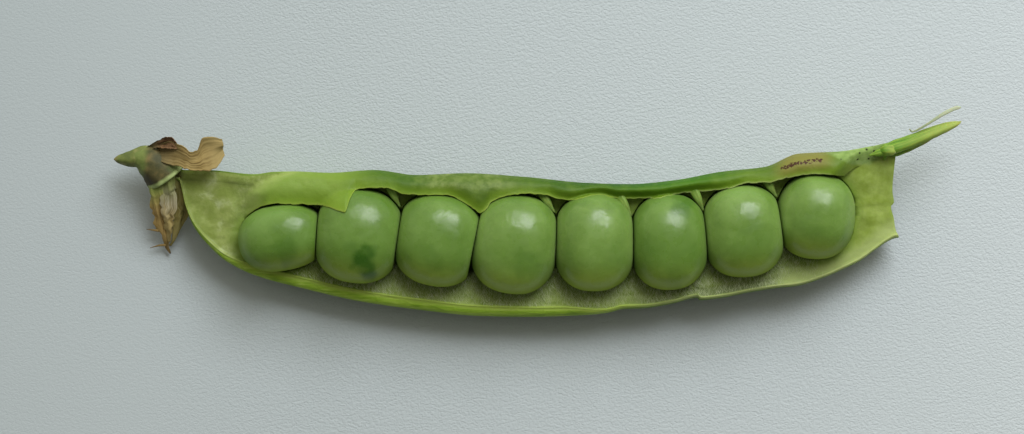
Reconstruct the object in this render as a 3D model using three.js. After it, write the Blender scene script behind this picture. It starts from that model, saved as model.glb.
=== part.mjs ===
// Opened garden pea pod, lying on its back: the back half of the shell with its two seams, a row of
// eight peas on their seed stalks, the dried calyx on its stem stub and the torn string at the tip.
// Millimetres. +X runs from the stem to the torn tip, +Y towards the upper seam, +Z is up.
import * as THREE from 'three';

// ---- driving dimensions ----
const shellLeft = -37.5;        // end of the short stalk in the calyx
const shellRight = 41.9;        // torn end of the shell
const shellStations = 54;       // sections along the shell
const wallThickness = 1.0;      // flesh of the shell at the belly
const stripThickness = 0.6;     // the strip of the front half, at its torn edge
const edgeSlope = 0.1;          // how far the torn edges are out of square
const restPoint = [0, -3.3];    // middle of the flat that the pod lies on, and the part's origin
const restHalfWidth = 1.6;      // half the width of the flat that the pod lies on
const seamThickness = 0.8;      // the upper seam that carries the peas
const pinchDepth = 0.3;         // how far the wall draws in between two peas
const pinchReach = 1.7;         // how far along the pod that shows
const stripTurn = 62;           // degrees that the strip bends over the peas
const tearStart = 36;           // the torn end slants from here on
const tornSlant = 0.055;        // and its lower corner stands this much further out, per mm of width
const endCrowding = 0.65;       // 0 spaces the sections evenly, more crowds them at the two ends
const fullness = 2.3;           // 2 is an ellipse, more is squarer
const peaFullness = 2.35;
const peaGap = 0.3;             // between pressed peas
const peaFloor = 1.3;           // lowest point of every pea
const peaSoftness = 0.25;       // how softly a pressed pea rounds into its flat side
const roundSegments = 22;
const lipSteps = 3;
const sideSteps = 6;
const stripSteps = 4;

// ---- the shell, along its length: [x, value] ----
const upperSeamY = smoothThrough([
  [-37.5, 5.3], [-36.6, 5.25], [-36.1, 5.2], [-33, 5.05], [-28.3, 4.6], [-24, 4.9], [-20, 4.75],
  [-15.1, 5.05], [-10.5, 4.5], [-5.2, 4.7], [1.4, 4.3], [8, 3.65], [13, 3.5], [18, 3.95],
  [22.9, 4.85], [27.8, 5.4], [31.5, 6.85], [36.1, 7.1], [39.4, 7.7], [41.9, 8.2],
]);
const upperSeamZ = smoothThrough([
  [-37.5, 5.15], [-36.2, 5.2], [-30, 5.8], [-20, 6.3], [20, 6.2], [33, 6.3], [41.9, 6.4],
]);
const lowerSeamY = smoothThrough([
  [-37.5, 4.2], [-36.7, 3.9], [-36.2, 1.6], [-35.8, 0.3], [-35.1, -1.2], [-33.8, -2.9],
  [-31.6, -4.9], [-28.3, -6.5], [-23.3, -7.85], [-16.7, -9.35], [-10, -10.3], [-3.5, -10.95],
  [2, -11.05], [8, -10.8], [14.6, -10.1], [20.9, -9.1], [24.5, -8.8], [29.5, -7.9],
  [34.4, -6.8], [37.7, -5.4], [41.9, -2.4],
]);
const lowerSeamZ = smoothThrough([
  [-37.5, 5.1], [-36.7, 4.9], [-36.1, 4.2], [-30, 4.1], [0, 4.2], [20, 4.1], [33, 3.8], [41.9, 3.5],
]);
const lipInset = smoothThrough([
  [-37.5, 0.1], [-36, 0.3], [-32, 0.6], [-10, 0.8], [10, 0.7], [21, 0.35], [41.9, 0.3],
]);
const lipThickness = smoothThrough([[-37.5, 0.15], [-36, 0.4], [-28, 0.3], [-20, 0.45], [41.9, 0.45]]);
const lipRise = smoothThrough([[-37.5, 0.2], [-36, 0.5], [-30, 0.9], [20, 0.9], [41.9, 0.5]]);
const bellyZ = smoothThrough([
  [-37.5, 4.7], [-36.7, 4.5], [-36.2, 2.4], [-33, 1.1], [-29.5, 0.25], [-26, 0],
  [36, 0], [39.5, 0.3], [41.9, 0.9],
]);
const innerBellyZ = smoothThrough([
  [-37.5, 5.05], [-36.7, 4.95], [-36.2, 3.9], [-33, 3.3], [-31.3, 2.5], [-29.8, 1.5],
  [-28, 1], [36, 1], [39.5, 1.35], [41.9, 1.95],
]);
const stripEdgeY = smoothThrough([
  [-37.5, 5.1], [-36.6, 4.9], [-36, 4.3], [-33, 3.9], [-31.3, 2.6], [-29.3, 0.3], [-27.6, 1.2],
  [-25.5, 1.5], [-22, 1.4], [-19.5, 0.95], [-18.1, 0.65], [-16.9, 3.0], [-14.3, 3.2], [-11.6, 2.6],
  [-7, 2.4], [-5.6, 1.8], [-3.9, 0.6], [-2.3, 1.8], [0.5, 2.5], [6.4, 1.9], [9.7, 2.4],
  [15.2, 2.1], [19.6, 2.75], [23.4, 3.1], [26.2, 3.75], [30, 4.3], [34.5, 4.8], [36.5, 5.1],
  [39, 6.0], [41.9, 6.9],
]);
const stripEdgeZ = smoothThrough([
  [-37.5, 5.6], [-36.6, 5.7], [-36, 6.0], [-33, 6.8], [-29.5, 8.9], [-27, 9.5], [-21.5, 9.7],
  [-18.1, 10.4], [-17.4, 10.3], [-16.7, 9.5], [-14, 8.1], [-8, 8.3], [-3.9, 8.6], [0.5, 8.2],
  [6.4, 8.45], [13, 8.05], [20, 8.0], [34, 8.4], [38, 7.8], [41.9, 7.2],
]);

// ---- the peas, stem end first: centre, half sizes along and across the pod, lean in degrees ----
const peas = [
  { x: -25.3, y: -1.3, along: 5.1, across: 3.95, high: 4.0, lean: 30 },
  { x: -16.9, y: -2.05, along: 4.95, across: 5.25, high: 4.4, lean: -6 },
  { x: -8.1, y: -2.5, along: 4.95, across: 5.15, high: 4.4, lean: -9 },
  { x: 0.3, y: -2.97, along: 4.9, across: 5.5, high: 4.45, lean: -7 },
  { x: 9.05, y: -2.78, along: 4.6, across: 5.38, high: 4.4, lean: 0 },
  { x: 17.3, y: -2.75, along: 4.35, across: 5.3, high: 4.3, lean: 1 },
  { x: 25.45, y: -1.54, along: 4.6, across: 5.1, high: 4.3, lean: 3 },
  { x: 33.4, y: 0.05, along: 4.4, across: 4.7, high: 4.25, lean: 0 },
];
// Where a pea presses on the next one: a point of the contact, its lean, and its bulge to the right.
const contacts = [
  { x: -21.4, y: -1.4, lean: -4, bulge: 0 },
  { x: -12.4, y: -1.4, lean: -9, bulge: 0 },
  { x: -3.95, y: -2.0, lean: -12, bulge: 0 },
  { x: 4.85, y: -2.3, lean: -2, bulge: 0 },
  { x: 13.3, y: -2.6, lean: 0, bulge: 0 },
  { x: 21.2, y: -1.2, lean: 5, bulge: 0 },
  { x: 29.5, y: -0.9, lean: 8, bulge: 0.02 },
];
// Seed stalks, one for each pea: where each leaves the upper seam and where it reaches its pea.
const funicles = [
  { root: [-21.3, 3.5, 6.6], tip: [-21.1, 1.8, 6.2] },
  { root: [-12.5, 2.9, 6.8], tip: [-12.0, 1.3, 6.2] },
  { root: [-3.9, 2.75, 6.8], tip: [-3.4, 1.1, 6.2] },
  { root: [4.3, 2.5, 6.8], tip: [4.65, 0.95, 6.2] },
  { root: [12.7, 2.15, 6.75], tip: [13.2, 0.8, 6.2] },
  { root: [20.7, 2.85, 6.8], tip: [21.0, 1.2, 6.2] },
  { root: [28.6, 4.35, 6.8], tip: [28.9, 2.6, 6.3] },
  { root: [37.3, 5.5, 6.7], tip: [37.1, 3.7, 6.3] },
];
const funicleRootRadius = 0.45;
const funicleTipRadius = 0.25;

// ---- stem, calyx and torn string ----
const stemPath = [[-44.0, 6.65, 4.4], [-42.8, 6.75, 4.4], [-42.0, 6.75, 4.35], [-41.15, 6.65, 4.2]];
const stemRadii = [0.7, 1.05, 1.35, 1.75];
const cupPath = [[-40.35, 6.5, 4.05], [-39.7, 6.3, 4.1], [-39.05, 6.0, 4.45], [-38.6, 5.7, 5.0]];
const cupRadii = [1.85, 2.05, 2.25, 2.35];
const cupWall = 0.4;
const cupSides = 18;
const cupSteps = 6;
const cupFloorStep = 2;         // the floor of the cup lies at this one of its steps
const sepalThickness = 0.35;
const sepalSteps = 8;
const sepalAcross = 6;
const sepals = [
  {
    name: 'sepal_upper_back', color: 0x4e3a24, faces: [0.1, -0.75, 0.65], curl: 0.3,
    path: [[-38.9, 8.1, 6.2], [-38.6, 8.5, 6.8], [-38.3, 8.9, 7.4], [-38.0, 9.1, 8.0]],
    widths: [1.3, 1.8, 1.7, 0.9],
  },
  {
    name: 'sepal_upper_front', color: 0x9a7c45, faces: [0.1, -0.2, 1], curl: 0.25,
    path: [[-37.1, 7.55, 5.7], [-35.6, 6.85, 6.8], [-33.8, 6.6, 7.1], [-32.4, 7.1, 7.0], [-31.5, 7.5, 6.8]],
    widths: [1.6, 1.8, 2.4, 3.1, 2.7],
  },
  {
    name: 'sepal_lower_left', color: 0x8c7340, faces: [-0.6, 0.2, 1], curl: 0.3,
    path: [[-40.1, 3.45, 4.75], [-39.8, 1.4, 3.2], [-39.2, -1.0, 1.7], [-38.5, -3.9, 0.5]],
    widths: [1.2, 1.5, 1.1, 0.35],
  },
  {
    name: 'sepal_lower_middle', color: 0x98875c, faces: [0, 0.2, 1], curl: 0.3,
    path: [[-38.7, 3.05, 4.8], [-38.1, 1.0, 3.9], [-37.9, -0.8, 2.9], [-38.1, -2.6, 1.7]],
    widths: [1.3, 1.9, 1.5, 0.4],
  },
  {
    name: 'sepal_lower_right', color: 0x7c6a3a, faces: [0.6, 0.2, 1], curl: 0.3,
    path: [[-37.45, 3.1, 3.9], [-37.05, 1.2, 2.6], [-37.2, -0.6, 1.5], [-37.8, -2.4, 0.6]],
    widths: [1.2, 1.6, 1.3, 0.35],
  },
];
const stringPath = [
  [42.55, 7.6, 6.3], [44.0, 8.4, 6.5], [46.2, 9.25, 6.6], [48.0, 9.95, 6.5], [49.5, 10.4, 6.3],
];
const stringRadii = [0.72, 0.62, 0.48, 0.35, 0.12];
const fibrePath = [
  [43.55, 9.65, 7.2], [44.1, 9.35, 6.95], [45.5, 10.1, 7.4],
  [47.1, 11.15, 7.6], [48.4, 11.9, 7.5], [49.2, 12.05, 7.3],
];
const fibreRadii = [0.1, 0.12, 0.15, 0.17, 0.17, 0.1];

// ---- helpers ----

// A smooth curve through a few [x, value] points that never overshoots them.
function smoothThrough(points) {
  const rise = (i) => (points[i + 1][1] - points[i][1]) / (points[i + 1][0] - points[i][0]);
  const slopeAt = (i) => {
    if (i === 0 || i === points.length - 1) return 0;
    const before = rise(i - 1);
    const after = rise(i);
    return before * after > 0 ? (2 * before * after) / (before + after) : 0;
  };
  return (x) => {
    let i = 0;
    while (i < points.length - 2 && x > points[i + 1][0]) i += 1;
    const span = points[i + 1][0] - points[i][0];
    const t = THREE.MathUtils.clamp((x - points[i][0]) / span, 0, 1);
    const ease = t * t * (3 - 2 * t);
    const bend = t * (1 - t) * ((1 - t) * slopeAt(i) - t * slopeAt(i + 1)) * span;
    return points[i][1] + (points[i + 1][1] - points[i][1]) * ease + bend;
  };
}

// A closed solid through rings of equally many points, with both ends capped.
// flatten(point) gives the two coordinates in which an end ring is a simple outline.
function loft(rings, flatten) {
  const count = rings[0].length;
  const positions = rings.flat().flatMap((point) => [point.x, point.y, point.z]);
  const index = [];
  for (let r = 0; r < rings.length - 1; r += 1) {
    for (let i = 0; i < count; i += 1) {
      const a = r * count + i;
      const b = r * count + ((i + 1) % count);
      index.push(a, b, b + count, a, b + count, a + count);
    }
  }
  const cap = (ring, first, reversed) => {
    const outline = ring.map(flatten);
    const clockwise = THREE.ShapeUtils.isClockWise(outline);
    for (const [a, b, c] of THREE.ShapeUtils.triangulateShape(outline, [])) {
      if (reversed !== clockwise) index.push(first + a, first + c, first + b);
      else index.push(first + a, first + b, first + c);
    }
  };
  cap(rings[0], 0, true);
  cap(rings[rings.length - 1], (rings.length - 1) * count, false);
  const geometry = new THREE.BufferGeometry();
  geometry.setAttribute('position', new THREE.Float32BufferAttribute(positions, 3));
  geometry.setIndex(index);
  return facedOutward(geometry);
}

// Turns every triangle round if the solid came out inside out.
function facedOutward(geometry) {
  const position = geometry.attributes.position;
  const index = geometry.index.array;
  const [a, b, c] = [new THREE.Vector3(), new THREE.Vector3(), new THREE.Vector3()];
  let volume = 0;
  for (let i = 0; i < index.length; i += 3) {
    a.fromBufferAttribute(position, index[i]);
    b.fromBufferAttribute(position, index[i + 1]);
    c.fromBufferAttribute(position, index[i + 2]);
    volume += a.dot(b.cross(c));
  }
  if (volume < 0) {
    for (let i = 0; i < index.length; i += 3) [index[i + 1], index[i + 2]] = [index[i + 2], index[i + 1]];
  }
  geometry.computeVertexNormals();
  return geometry;
}

// Round sections along a path, with a radius of their own at each point of it.
function tubeRings(path, radii, sides, steps) {
  const curve = new THREE.CatmullRomCurve3(path.map((point) => new THREE.Vector3(...point)));
  const radiusAt = smoothThrough(radii.map((radius, i) => [i / (radii.length - 1), radius]));
  const frames = curve.computeFrenetFrames(steps, false);
  return Array.from({ length: steps + 1 }, (_, s) => {
    const centre = curve.getPoint(s / steps);
    const radius = radiusAt(s / steps);
    return Array.from({ length: sides }, (__, i) => {
      const angle = (2 * Math.PI * i) / sides;
      return centre.clone()
        .addScaledVector(frames.normals[s], radius * Math.cos(angle))
        .addScaledVector(frames.binormals[s], radius * Math.sin(angle));
    });
  });
}

function taperedTube(path, radii, sides, steps) {
  const along = new THREE.Vector3(...path[path.length - 1]).sub(new THREE.Vector3(...path[0]));
  return loft(tubeRings(path, radii, sides, steps), acrossEnd(along));
}

// Drops the coordinate that a direction runs along most.
function acrossEnd(direction) {
  if (Math.abs(direction.x) > Math.abs(direction.y)) return (p) => new THREE.Vector2(p.y, p.z);
  return (p) => new THREE.Vector2(p.z, p.x);
}

function piece(name, geometry, color, roughness) {
  const material = new THREE.MeshStandardMaterial({ color, roughness, metalness: 0 });
  const mesh = new THREE.Mesh(geometry, material);
  mesh.name = name;
  return mesh;
}

// ---- shell ----

// A quarter of a rounded outline: t from 0 at the side to 1 at the middle.
function quarter(t, fromY, fromZ, toY, toZ, pinch) {
  const angle = (t * Math.PI) / 2;
  const side = Math.cos(angle) ** (2 / fullness);
  const middle = Math.sin(angle) ** (2 / fullness);
  return [toY + (fromY - toY) * side, fromZ + (toZ - fromZ) * middle + pinch * Math.sin(2 * angle)];
}

// The wall draws in a little between two peas.
function pinchAt(x) {
  return contacts.reduce((sum, contact) => {
    const away = (x - contact.x) / pinchReach;
    return sum + pinchDepth * Math.exp(-away * away);
  }, 0);
}

// One side of the wall, from the torn lower lip under the peas and up to the edge of the strip.
function wallPath(lip, lower, belly, upper, strip, pinch) {
  const path = [];
  for (let i = 0; i < lipSteps; i += 1) {
    const angle = (i / lipSteps) * (Math.PI / 2);
    const over = 1 - Math.sin(angle);
    const up = Math.cos(angle);
    path.push([lower[0] + (lip[0] - lower[0]) * over, lower[1] + (lip[1] - lower[1]) * up]);
  }
  for (let i = 0; i < sideSteps; i += 1) {
    path.push(quarter(i / sideSteps, lower[0], lower[1], belly[0], belly[2], pinch));
  }
  path.push([belly[0], belly[2]], [belly[1], belly[2]]);
  for (let i = sideSteps - 1; i >= 0; i -= 1) {
    path.push(quarter(i / sideSteps, upper[0], upper[1], belly[1], belly[2], pinch));
  }
  const turn = THREE.MathUtils.degToRad(stripTurn);
  for (let i = 1; i <= stripSteps; i += 1) {
    const angle = (turn * i) / stripSteps;
    const over = (1 - Math.cos(angle)) / (1 - Math.cos(turn));
    const up = Math.sin(angle) / Math.sin(turn);
    path.push([upper[0] + (strip[0] - upper[0]) * over, upper[1] + (strip[1] - upper[1]) * up]);
  }
  return path;
}

function shellRing(x) {
  const lowerY = lowerSeamY(x);
  const lowerZ = lowerSeamZ(x);
  const upperY = upperSeamY(x);
  const upperZ = upperSeamZ(x);
  const lipY = lowerY + lipInset(x);
  const lipZ = lowerZ + lipRise(x);
  const middleY = (lowerY + upperY) / 2;
  const rest = Math.min(restHalfWidth, 0.2 * (upperY - lowerY));
  const thickest = 0.3 * (upperY - lowerY);
  const flesh = Math.min(wallThickness, thickest);
  const seam = Math.min(seamThickness, thickest);
  const strip = Math.min(stripThickness, thickest);
  const outside = wallPath(
    [lipY, lipZ], [lowerY, lowerZ], [middleY - rest, middleY + rest, bellyZ(x)],
    [upperY, upperZ], [stripEdgeY(x), stripEdgeZ(x)], pinchAt(x),
  );
  const inside = wallPath(
    [lipY + lipThickness(x), lipZ - edgeSlope], [lowerY + flesh, lowerZ],
    [middleY - rest, middleY + rest, innerBellyZ(x)],
    [upperY - seam, upperZ], [stripEdgeY(x) + edgeSlope, stripEdgeZ(x) - strip], 0,
  );
  const slant = tornSlant * THREE.MathUtils.smoothstep(x, tearStart, shellRight);
  const ring = [...outside, ...inside.reverse()];
  return ring.map(([y, z]) => new THREE.Vector3(x + slant * (upperY - y), y, z));
}

// Sections stand closer together at the two ends, where the outline turns.
function shellGeometry() {
  const rings = [];
  for (let i = 0; i <= shellStations; i += 1) {
    const t = i / shellStations;
    const eased = t - (endCrowding * Math.sin(2 * Math.PI * t)) / (2 * Math.PI);
    rings.push(shellRing(shellLeft + (shellRight - shellLeft) * eased));
  }
  return loft(rings, (p) => new THREE.Vector2(p.y, p.z));
}

// ---- peas ----

// Presses a point back where it would pass a contact; side is +1 for the pea left of it, -1 right of it.
function press(point, contact, side) {
  const lean = THREE.MathUtils.degToRad(contact.lean);
  const offsetX = point.x - contact.x;
  const offsetY = point.y - contact.y;
  const along = offsetX * Math.cos(lean) + offsetY * Math.sin(lean);
  const across = offsetY * Math.cos(lean) - offsetX * Math.sin(lean);
  const surface = -contact.bulge * across * across;
  const beyond = side * (along - surface) + peaGap / 2;
  const push = beyond > -4 * peaSoftness ? peaSoftness * Math.log1p(Math.exp(beyond / peaSoftness)) : 0;
  point.x -= side * push * Math.cos(lean);
  point.y -= side * push * Math.sin(lean);
}

function peaGeometry(number) {
  const pea = peas[number];
  const geometry = new THREE.SphereGeometry(1, roundSegments, roundSegments / 2 + 2);
  const position = geometry.attributes.position;
  const lean = THREE.MathUtils.degToRad(pea.lean);
  const point = new THREE.Vector3();
  for (let i = 0; i < position.count; i += 1) {
    point.fromBufferAttribute(position, i).normalize();
    const parts = [point.x / pea.along, point.y / pea.across, point.z / pea.high];
    const size = parts.reduce((sum, part) => sum + Math.abs(part) ** peaFullness, 0);
    point.multiplyScalar(size ** (-1 / peaFullness));
    point.set(
      pea.x + point.x * Math.cos(lean) - point.y * Math.sin(lean),
      pea.y + point.x * Math.sin(lean) + point.y * Math.cos(lean),
      peaFloor + pea.high + point.z,
    );
    if (number > 0) press(point, contacts[number - 1], -1);
    if (number < contacts.length) press(point, contacts[number], 1);
    position.setXYZ(i, point.x, point.y, point.z);
  }
  return geometry;
}

// ---- calyx ----

// A bell that widens from the stem to its mouth, then back down its inner wall to a floor.
function cupGeometry() {
  const innerRadii = cupRadii.map((radius) => radius - cupWall);
  const outside = tubeRings(cupPath, cupRadii, cupSides, cupSteps);
  const inside = tubeRings(cupPath, innerRadii, cupSides, cupSteps).slice(cupFloorStep).reverse();
  return loft([...outside, ...inside], (p) => new THREE.Vector2(p.y, p.z));
}

function sepalGeometry({ path, widths, faces, curl }) {
  const curve = new THREE.CatmullRomCurve3(path.map((point) => new THREE.Vector3(...point)));
  const widthAt = smoothThrough(widths.map((width, i) => [i / (widths.length - 1), width]));
  const facing = new THREE.Vector3(...faces).normalize();
  const rings = [];
  for (let s = 0; s <= sepalSteps; s += 1) {
    const t = s / sepalSteps;
    const centre = curve.getPoint(t);
    const side = new THREE.Vector3().crossVectors(curve.getTangent(t), facing).normalize();
    const half = widthAt(t) / 2;
    const edge = (u, lift) => centre.clone()
      .addScaledVector(side, u * half)
      .addScaledVector(facing, lift + curl * half * u * u);
    const row = Array.from({ length: sepalAcross + 1 }, (_, i) => (2 * i) / sepalAcross - 1);
    const upper = row.map((u) => edge(u, sepalThickness / 2));
    const lower = row.map((u) => edge(u, -sepalThickness / 2)).reverse();
    rings.push([...upper, ...lower]);
  }
  return loft(rings, acrossEnd(curve.getTangent(0)));
}

// ---- assembly ----

const pod = new THREE.Group();
pod.position.set(-restPoint[0], -restPoint[1], 0);
pod.add(piece('pod_shell', shellGeometry(), 0x7b9047, 0.6));
for (let i = 0; i < peas.length; i += 1) {
  pod.add(piece(`pea_${i + 1}`, peaGeometry(i), 0x6c883f, 0.4));
}
funicles.forEach(({ root, tip }, i) => {
  const stalk = taperedTube([root, tip], [funicleRootRadius, funicleTipRadius], 6, 3);
  pod.add(piece(`funicle_${i + 1}`, stalk, 0x8fa85a, 0.6));
});
pod.add(piece('pedicel', taperedTube(stemPath, stemRadii, 12, 8), 0x5f7a3a, 0.65));
pod.add(piece('calyx_cup', cupGeometry(), 0x5c6a34, 0.7));
for (const sepal of sepals) {
  pod.add(piece(sepal.name, sepalGeometry(sepal), sepal.color, 0.85));
}
pod.add(piece('seam_string', taperedTube(stringPath, stringRadii, 8, 10), 0x5f8a2a, 0.55));
pod.add(piece('loose_fibre', taperedTube(fibrePath, fibreRadii, 6, 12), 0x9aa878, 0.7));

export default pod;
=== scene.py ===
import math

import bmesh
import bpy
import numpy as np
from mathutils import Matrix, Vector


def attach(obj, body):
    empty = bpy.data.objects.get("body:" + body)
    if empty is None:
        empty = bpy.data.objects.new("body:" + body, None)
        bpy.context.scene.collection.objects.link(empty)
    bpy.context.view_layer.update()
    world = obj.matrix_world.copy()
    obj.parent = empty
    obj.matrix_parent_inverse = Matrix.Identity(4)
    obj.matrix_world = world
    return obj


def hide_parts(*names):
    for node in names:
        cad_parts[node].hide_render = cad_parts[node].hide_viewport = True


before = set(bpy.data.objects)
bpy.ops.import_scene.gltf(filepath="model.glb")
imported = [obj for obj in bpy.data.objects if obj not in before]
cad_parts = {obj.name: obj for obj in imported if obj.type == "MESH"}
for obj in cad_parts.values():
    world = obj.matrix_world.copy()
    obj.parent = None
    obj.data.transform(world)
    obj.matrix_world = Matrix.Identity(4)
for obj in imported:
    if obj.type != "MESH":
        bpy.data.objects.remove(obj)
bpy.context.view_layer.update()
print("frame loaded:", len(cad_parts), "pieces")

# Lengths below are millimetres in the drawing of the pod: +X from the stem to the torn tip, +Y towards the
# seam that carries the peas, +Z up. The frame's origin lies at restPoint in that drawing.
restPoint = (0.0, -3.3)
metre = 0.001


# helpers for nodes, curves and meshes

def hexColor(text):
    # an sRGB hex value as the linear colour that a shader takes
    channels = [int(text[i:i + 2], 16) / 255 for i in (1, 3, 5)]
    return tuple(c / 12.92 if c <= 0.04045 else ((c + 0.055) / 1.055) ** 2.4 for c in channels) + (1.0,)


def addNode(tree, kind, settings=None, links=None):
    # a node with its properties and input values by name or number, and what feeds its inputs
    node = tree.nodes.new(kind)
    for key, value in (settings or {}).items():
        if key == "stops":
            ramp = node.color_ramp
            while len(ramp.elements) < len(value):
                ramp.elements.new(0.5)
            for element, (position, color) in zip(ramp.elements, value):
                element.position = position
                element.color = hexColor(color) if isinstance(color, str) else (color, color, color, 1)
        elif isinstance(key, str) and hasattr(node, key):
            setattr(node, key, value)
        else:
            node.inputs[key].default_value = value
    for key, source in (links or {}).items():
        tree.links.new(source, node.inputs[key])
    return node


def smoothThrough(points):
    # a curve through a few (x, value) points that never overshoots them
    xs = np.array([p[0] for p in points], float)
    values = np.array([p[1] for p in points], float)
    rises = np.diff(values) / np.diff(xs)
    before, after = rises[:-1], rises[1:]
    same = before * after > 0
    slopes = np.zeros(len(xs))
    slopes[1:-1] = np.where(same, 2 * before * after / np.where(same, before + after, 1), 0)

    def valueAt(x):
        x = np.asarray(x, float)
        i = np.clip(np.searchsorted(xs, x, side="right") - 1, 0, len(xs) - 2)
        span = xs[i + 1] - xs[i]
        t = np.clip((x - xs[i]) / span, 0, 1)
        ease = t * t * (3 - 2 * t)
        bend = t * (1 - t) * ((1 - t) * slopes[i] - t * slopes[i + 1]) * span
        return values[i] + (values[i + 1] - values[i]) * ease + bend

    return valueAt


def smoothStep(x, low, high):
    # an even rise from 0 at low to 1 at high
    t = np.clip((np.asarray(x, float) - low) / (high - low), 0, 1)
    return t * t * (3 - 2 * t)


def hill(x, centre, width):
    return np.exp(-((x - centre) / width) ** 2)


def wander(x, step, seed):
    # smooth random values from -1 to 1 along a line, one new value each step
    values = np.random.default_rng(seed).uniform(-1, 1, 1024)
    t = np.asarray(x, float) / step + 512
    i = np.floor(t).astype(int)
    f = t - i
    f = f * f * (3 - 2 * f)
    return values[i % 1024] * (1 - f) + values[(i + 1) % 1024] * f


def wanderOver(x, y, step, seed):
    # the same over a surface
    values = np.random.default_rng(seed).uniform(-1, 1, (256, 256))
    tx, ty = np.asarray(x, float) / step + 128, np.asarray(y, float) / step + 128
    i, j = np.floor(tx).astype(int), np.floor(ty).astype(int)
    fx, fy = tx - i, ty - j
    fx, fy = fx * fx * (3 - 2 * fx), fy * fy * (3 - 2 * fy)
    i, j = i % 256, j % 256
    i2, j2 = (i + 1) % 256, (j + 1) % 256
    low = values[i, j] * (1 - fx) + values[i2, j] * fx
    high = values[i, j2] * (1 - fx) + values[i2, j2] * fx
    return low * (1 - fy) + high * fy


def curveThrough(points, steps):
    # an even Catmull-Rom curve through a few points, as steps + 1 points
    p = np.array(points, float)
    p = np.vstack([2 * p[0] - p[1], p, 2 * p[-1] - p[-2]])
    t = np.linspace(0, len(points) - 1, steps + 1)
    i = np.minimum(t.astype(int), len(points) - 2)
    f = (t - i)[:, None]
    a, b, c, d = p[i], p[i + 1], p[i + 2], p[i + 3]
    return 0.5 * (2 * b + (c - a) * f + (2 * a - 5 * b + 4 * c - d) * f ** 2
                  + (3 * b - a - 3 * c + d) * f ** 3)


def settle(piece, node):
    # a finished piece stands in for its solid
    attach(piece, "root")
    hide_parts(node)


def between(x, low, lowFull, highFull, high):
    # 1 from lowFull to highFull, and 0 outside low and high
    return smoothStep(x, low, lowFull) * (1 - smoothStep(x, highFull, high))


def meshPiece(name, vertices, faces, material, attributes=None, smooth=True):
    # a mesh object in the frame's metres from points in the drawing's millimetres
    points = (np.asarray(vertices, float).reshape(-1, 3) - [restPoint[0], restPoint[1], 0]) * metre
    mesh = bpy.data.meshes.new(name)
    mesh.from_pydata(points.tolist(), [], faces)
    for key, values in (attributes or {}).items():
        layer = mesh.attributes.new(key, "FLOAT", "POINT")
        layer.data.foreach_set("value", np.asarray(values, np.float32).ravel())
    mesh.polygons.foreach_set("use_smooth", [smooth] * len(mesh.polygons))
    mesh.materials.append(material)
    mesh.validate()
    mesh.update()
    piece = bpy.data.objects.new(name, mesh)
    bpy.context.scene.collection.objects.link(piece)
    return piece


def outward(piece):
    # turns the faces of a closed mesh so that they point out
    mesh = bmesh.new()
    mesh.from_mesh(piece.data)
    bmesh.ops.recalc_face_normals(mesh, faces=mesh.faces)
    mesh.to_mesh(piece.data)
    mesh.free()
    return piece


def tubeFaces(rings, around, closedEnds=True):
    # quads between rings of equally many points, and a fan over each end round an extra centre point
    faces = []
    for r in range(rings - 1):
        for i in range(around):
            j = (i + 1) % around
            faces.append((r * around + i, r * around + j, (r + 1) * around + j, (r + 1) * around + i))
    if closedEnds:
        first, last = rings * around, rings * around + 1
        faces += [(first, (i + 1) % around, i) for i in range(around)]
        top = (rings - 1) * around
        faces += [(last, top + i, top + (i + 1) % around) for i in range(around)]
    return faces


def tubeRings(path, radii, around, flat=1.0, up=(0, 0, 1), ridges=0, ridgeDepth=0.0):
    # sections along a path, flattened along the up direction, with lengthwise ridges
    path = np.asarray(path, float)
    along = np.gradient(path, axis=0)
    along /= np.linalg.norm(along, axis=1)[:, None]
    side = np.cross(along, up)
    side /= np.linalg.norm(side, axis=1)[:, None]
    lift = np.cross(side, along)
    angle = np.linspace(0, 2 * math.pi, around, endpoint=False)
    shape = 1 + ridgeDepth * np.cos(ridges * angle)
    wide = np.asarray(radii)[:, None] * np.cos(angle) * shape
    high = np.asarray(radii)[:, None] * np.sin(angle) * shape * flat
    return path[:, None] + wide[..., None] * side[:, None] + high[..., None] * lift[:, None]


def mergedPiece(name, parts, material):
    # one mesh from several (points, faces, attributes) parts
    vertices, faces, attributes, start = [], [], {}, 0
    for points, partFaces, partAttributes in parts:
        vertices.append(points)
        faces += [tuple(start + i for i in face) for face in partFaces]
        for key, values in partAttributes.items():
            attributes.setdefault(key, []).append(np.asarray(values, float).ravel())
        start += len(points)
    joined = {key: np.concatenate(values) for key, values in attributes.items()}
    return outward(meshPiece(name, np.vstack(vertices), faces, material, joined))


def tubePart(path, radii, around, **shape):
    # a closed tapered tube with the attributes "along" (0 to 1) and "turn" (0 to 1)
    rings = tubeRings(path, radii, around, **shape)
    count = len(rings)
    points = np.vstack([rings.reshape(-1, 3), rings[0].mean(0), rings[-1].mean(0)])
    along = np.append(np.repeat(np.linspace(0, 1, count), around), [0, 1])
    turn = np.append(np.tile(np.linspace(0, 1, around, endpoint=False), count), [0, 0])
    return points, tubeFaces(count, around), {"along": along, "turn": turn}


# camera and light

# straight down; the width is what the camera sees at the focus height
view = {"height": 350.0, "focus": 6.0, "width": 112.64, "sensor": 36.0, "nearest": 10.0}


def makeCamera():
    camera = bpy.data.objects.new("camera", bpy.data.cameras.new("camera"))
    bpy.context.scene.collection.objects.link(camera)
    camera.location = (-restPoint[0] * metre, -restPoint[1] * metre, view["height"] * metre)
    camera.data.sensor_width = view["sensor"]
    camera.data.lens = view["sensor"] * (view["height"] - view["focus"]) / view["width"]
    camera.data.clip_start = view["nearest"] * metre
    bpy.context.scene.camera = camera


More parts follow.
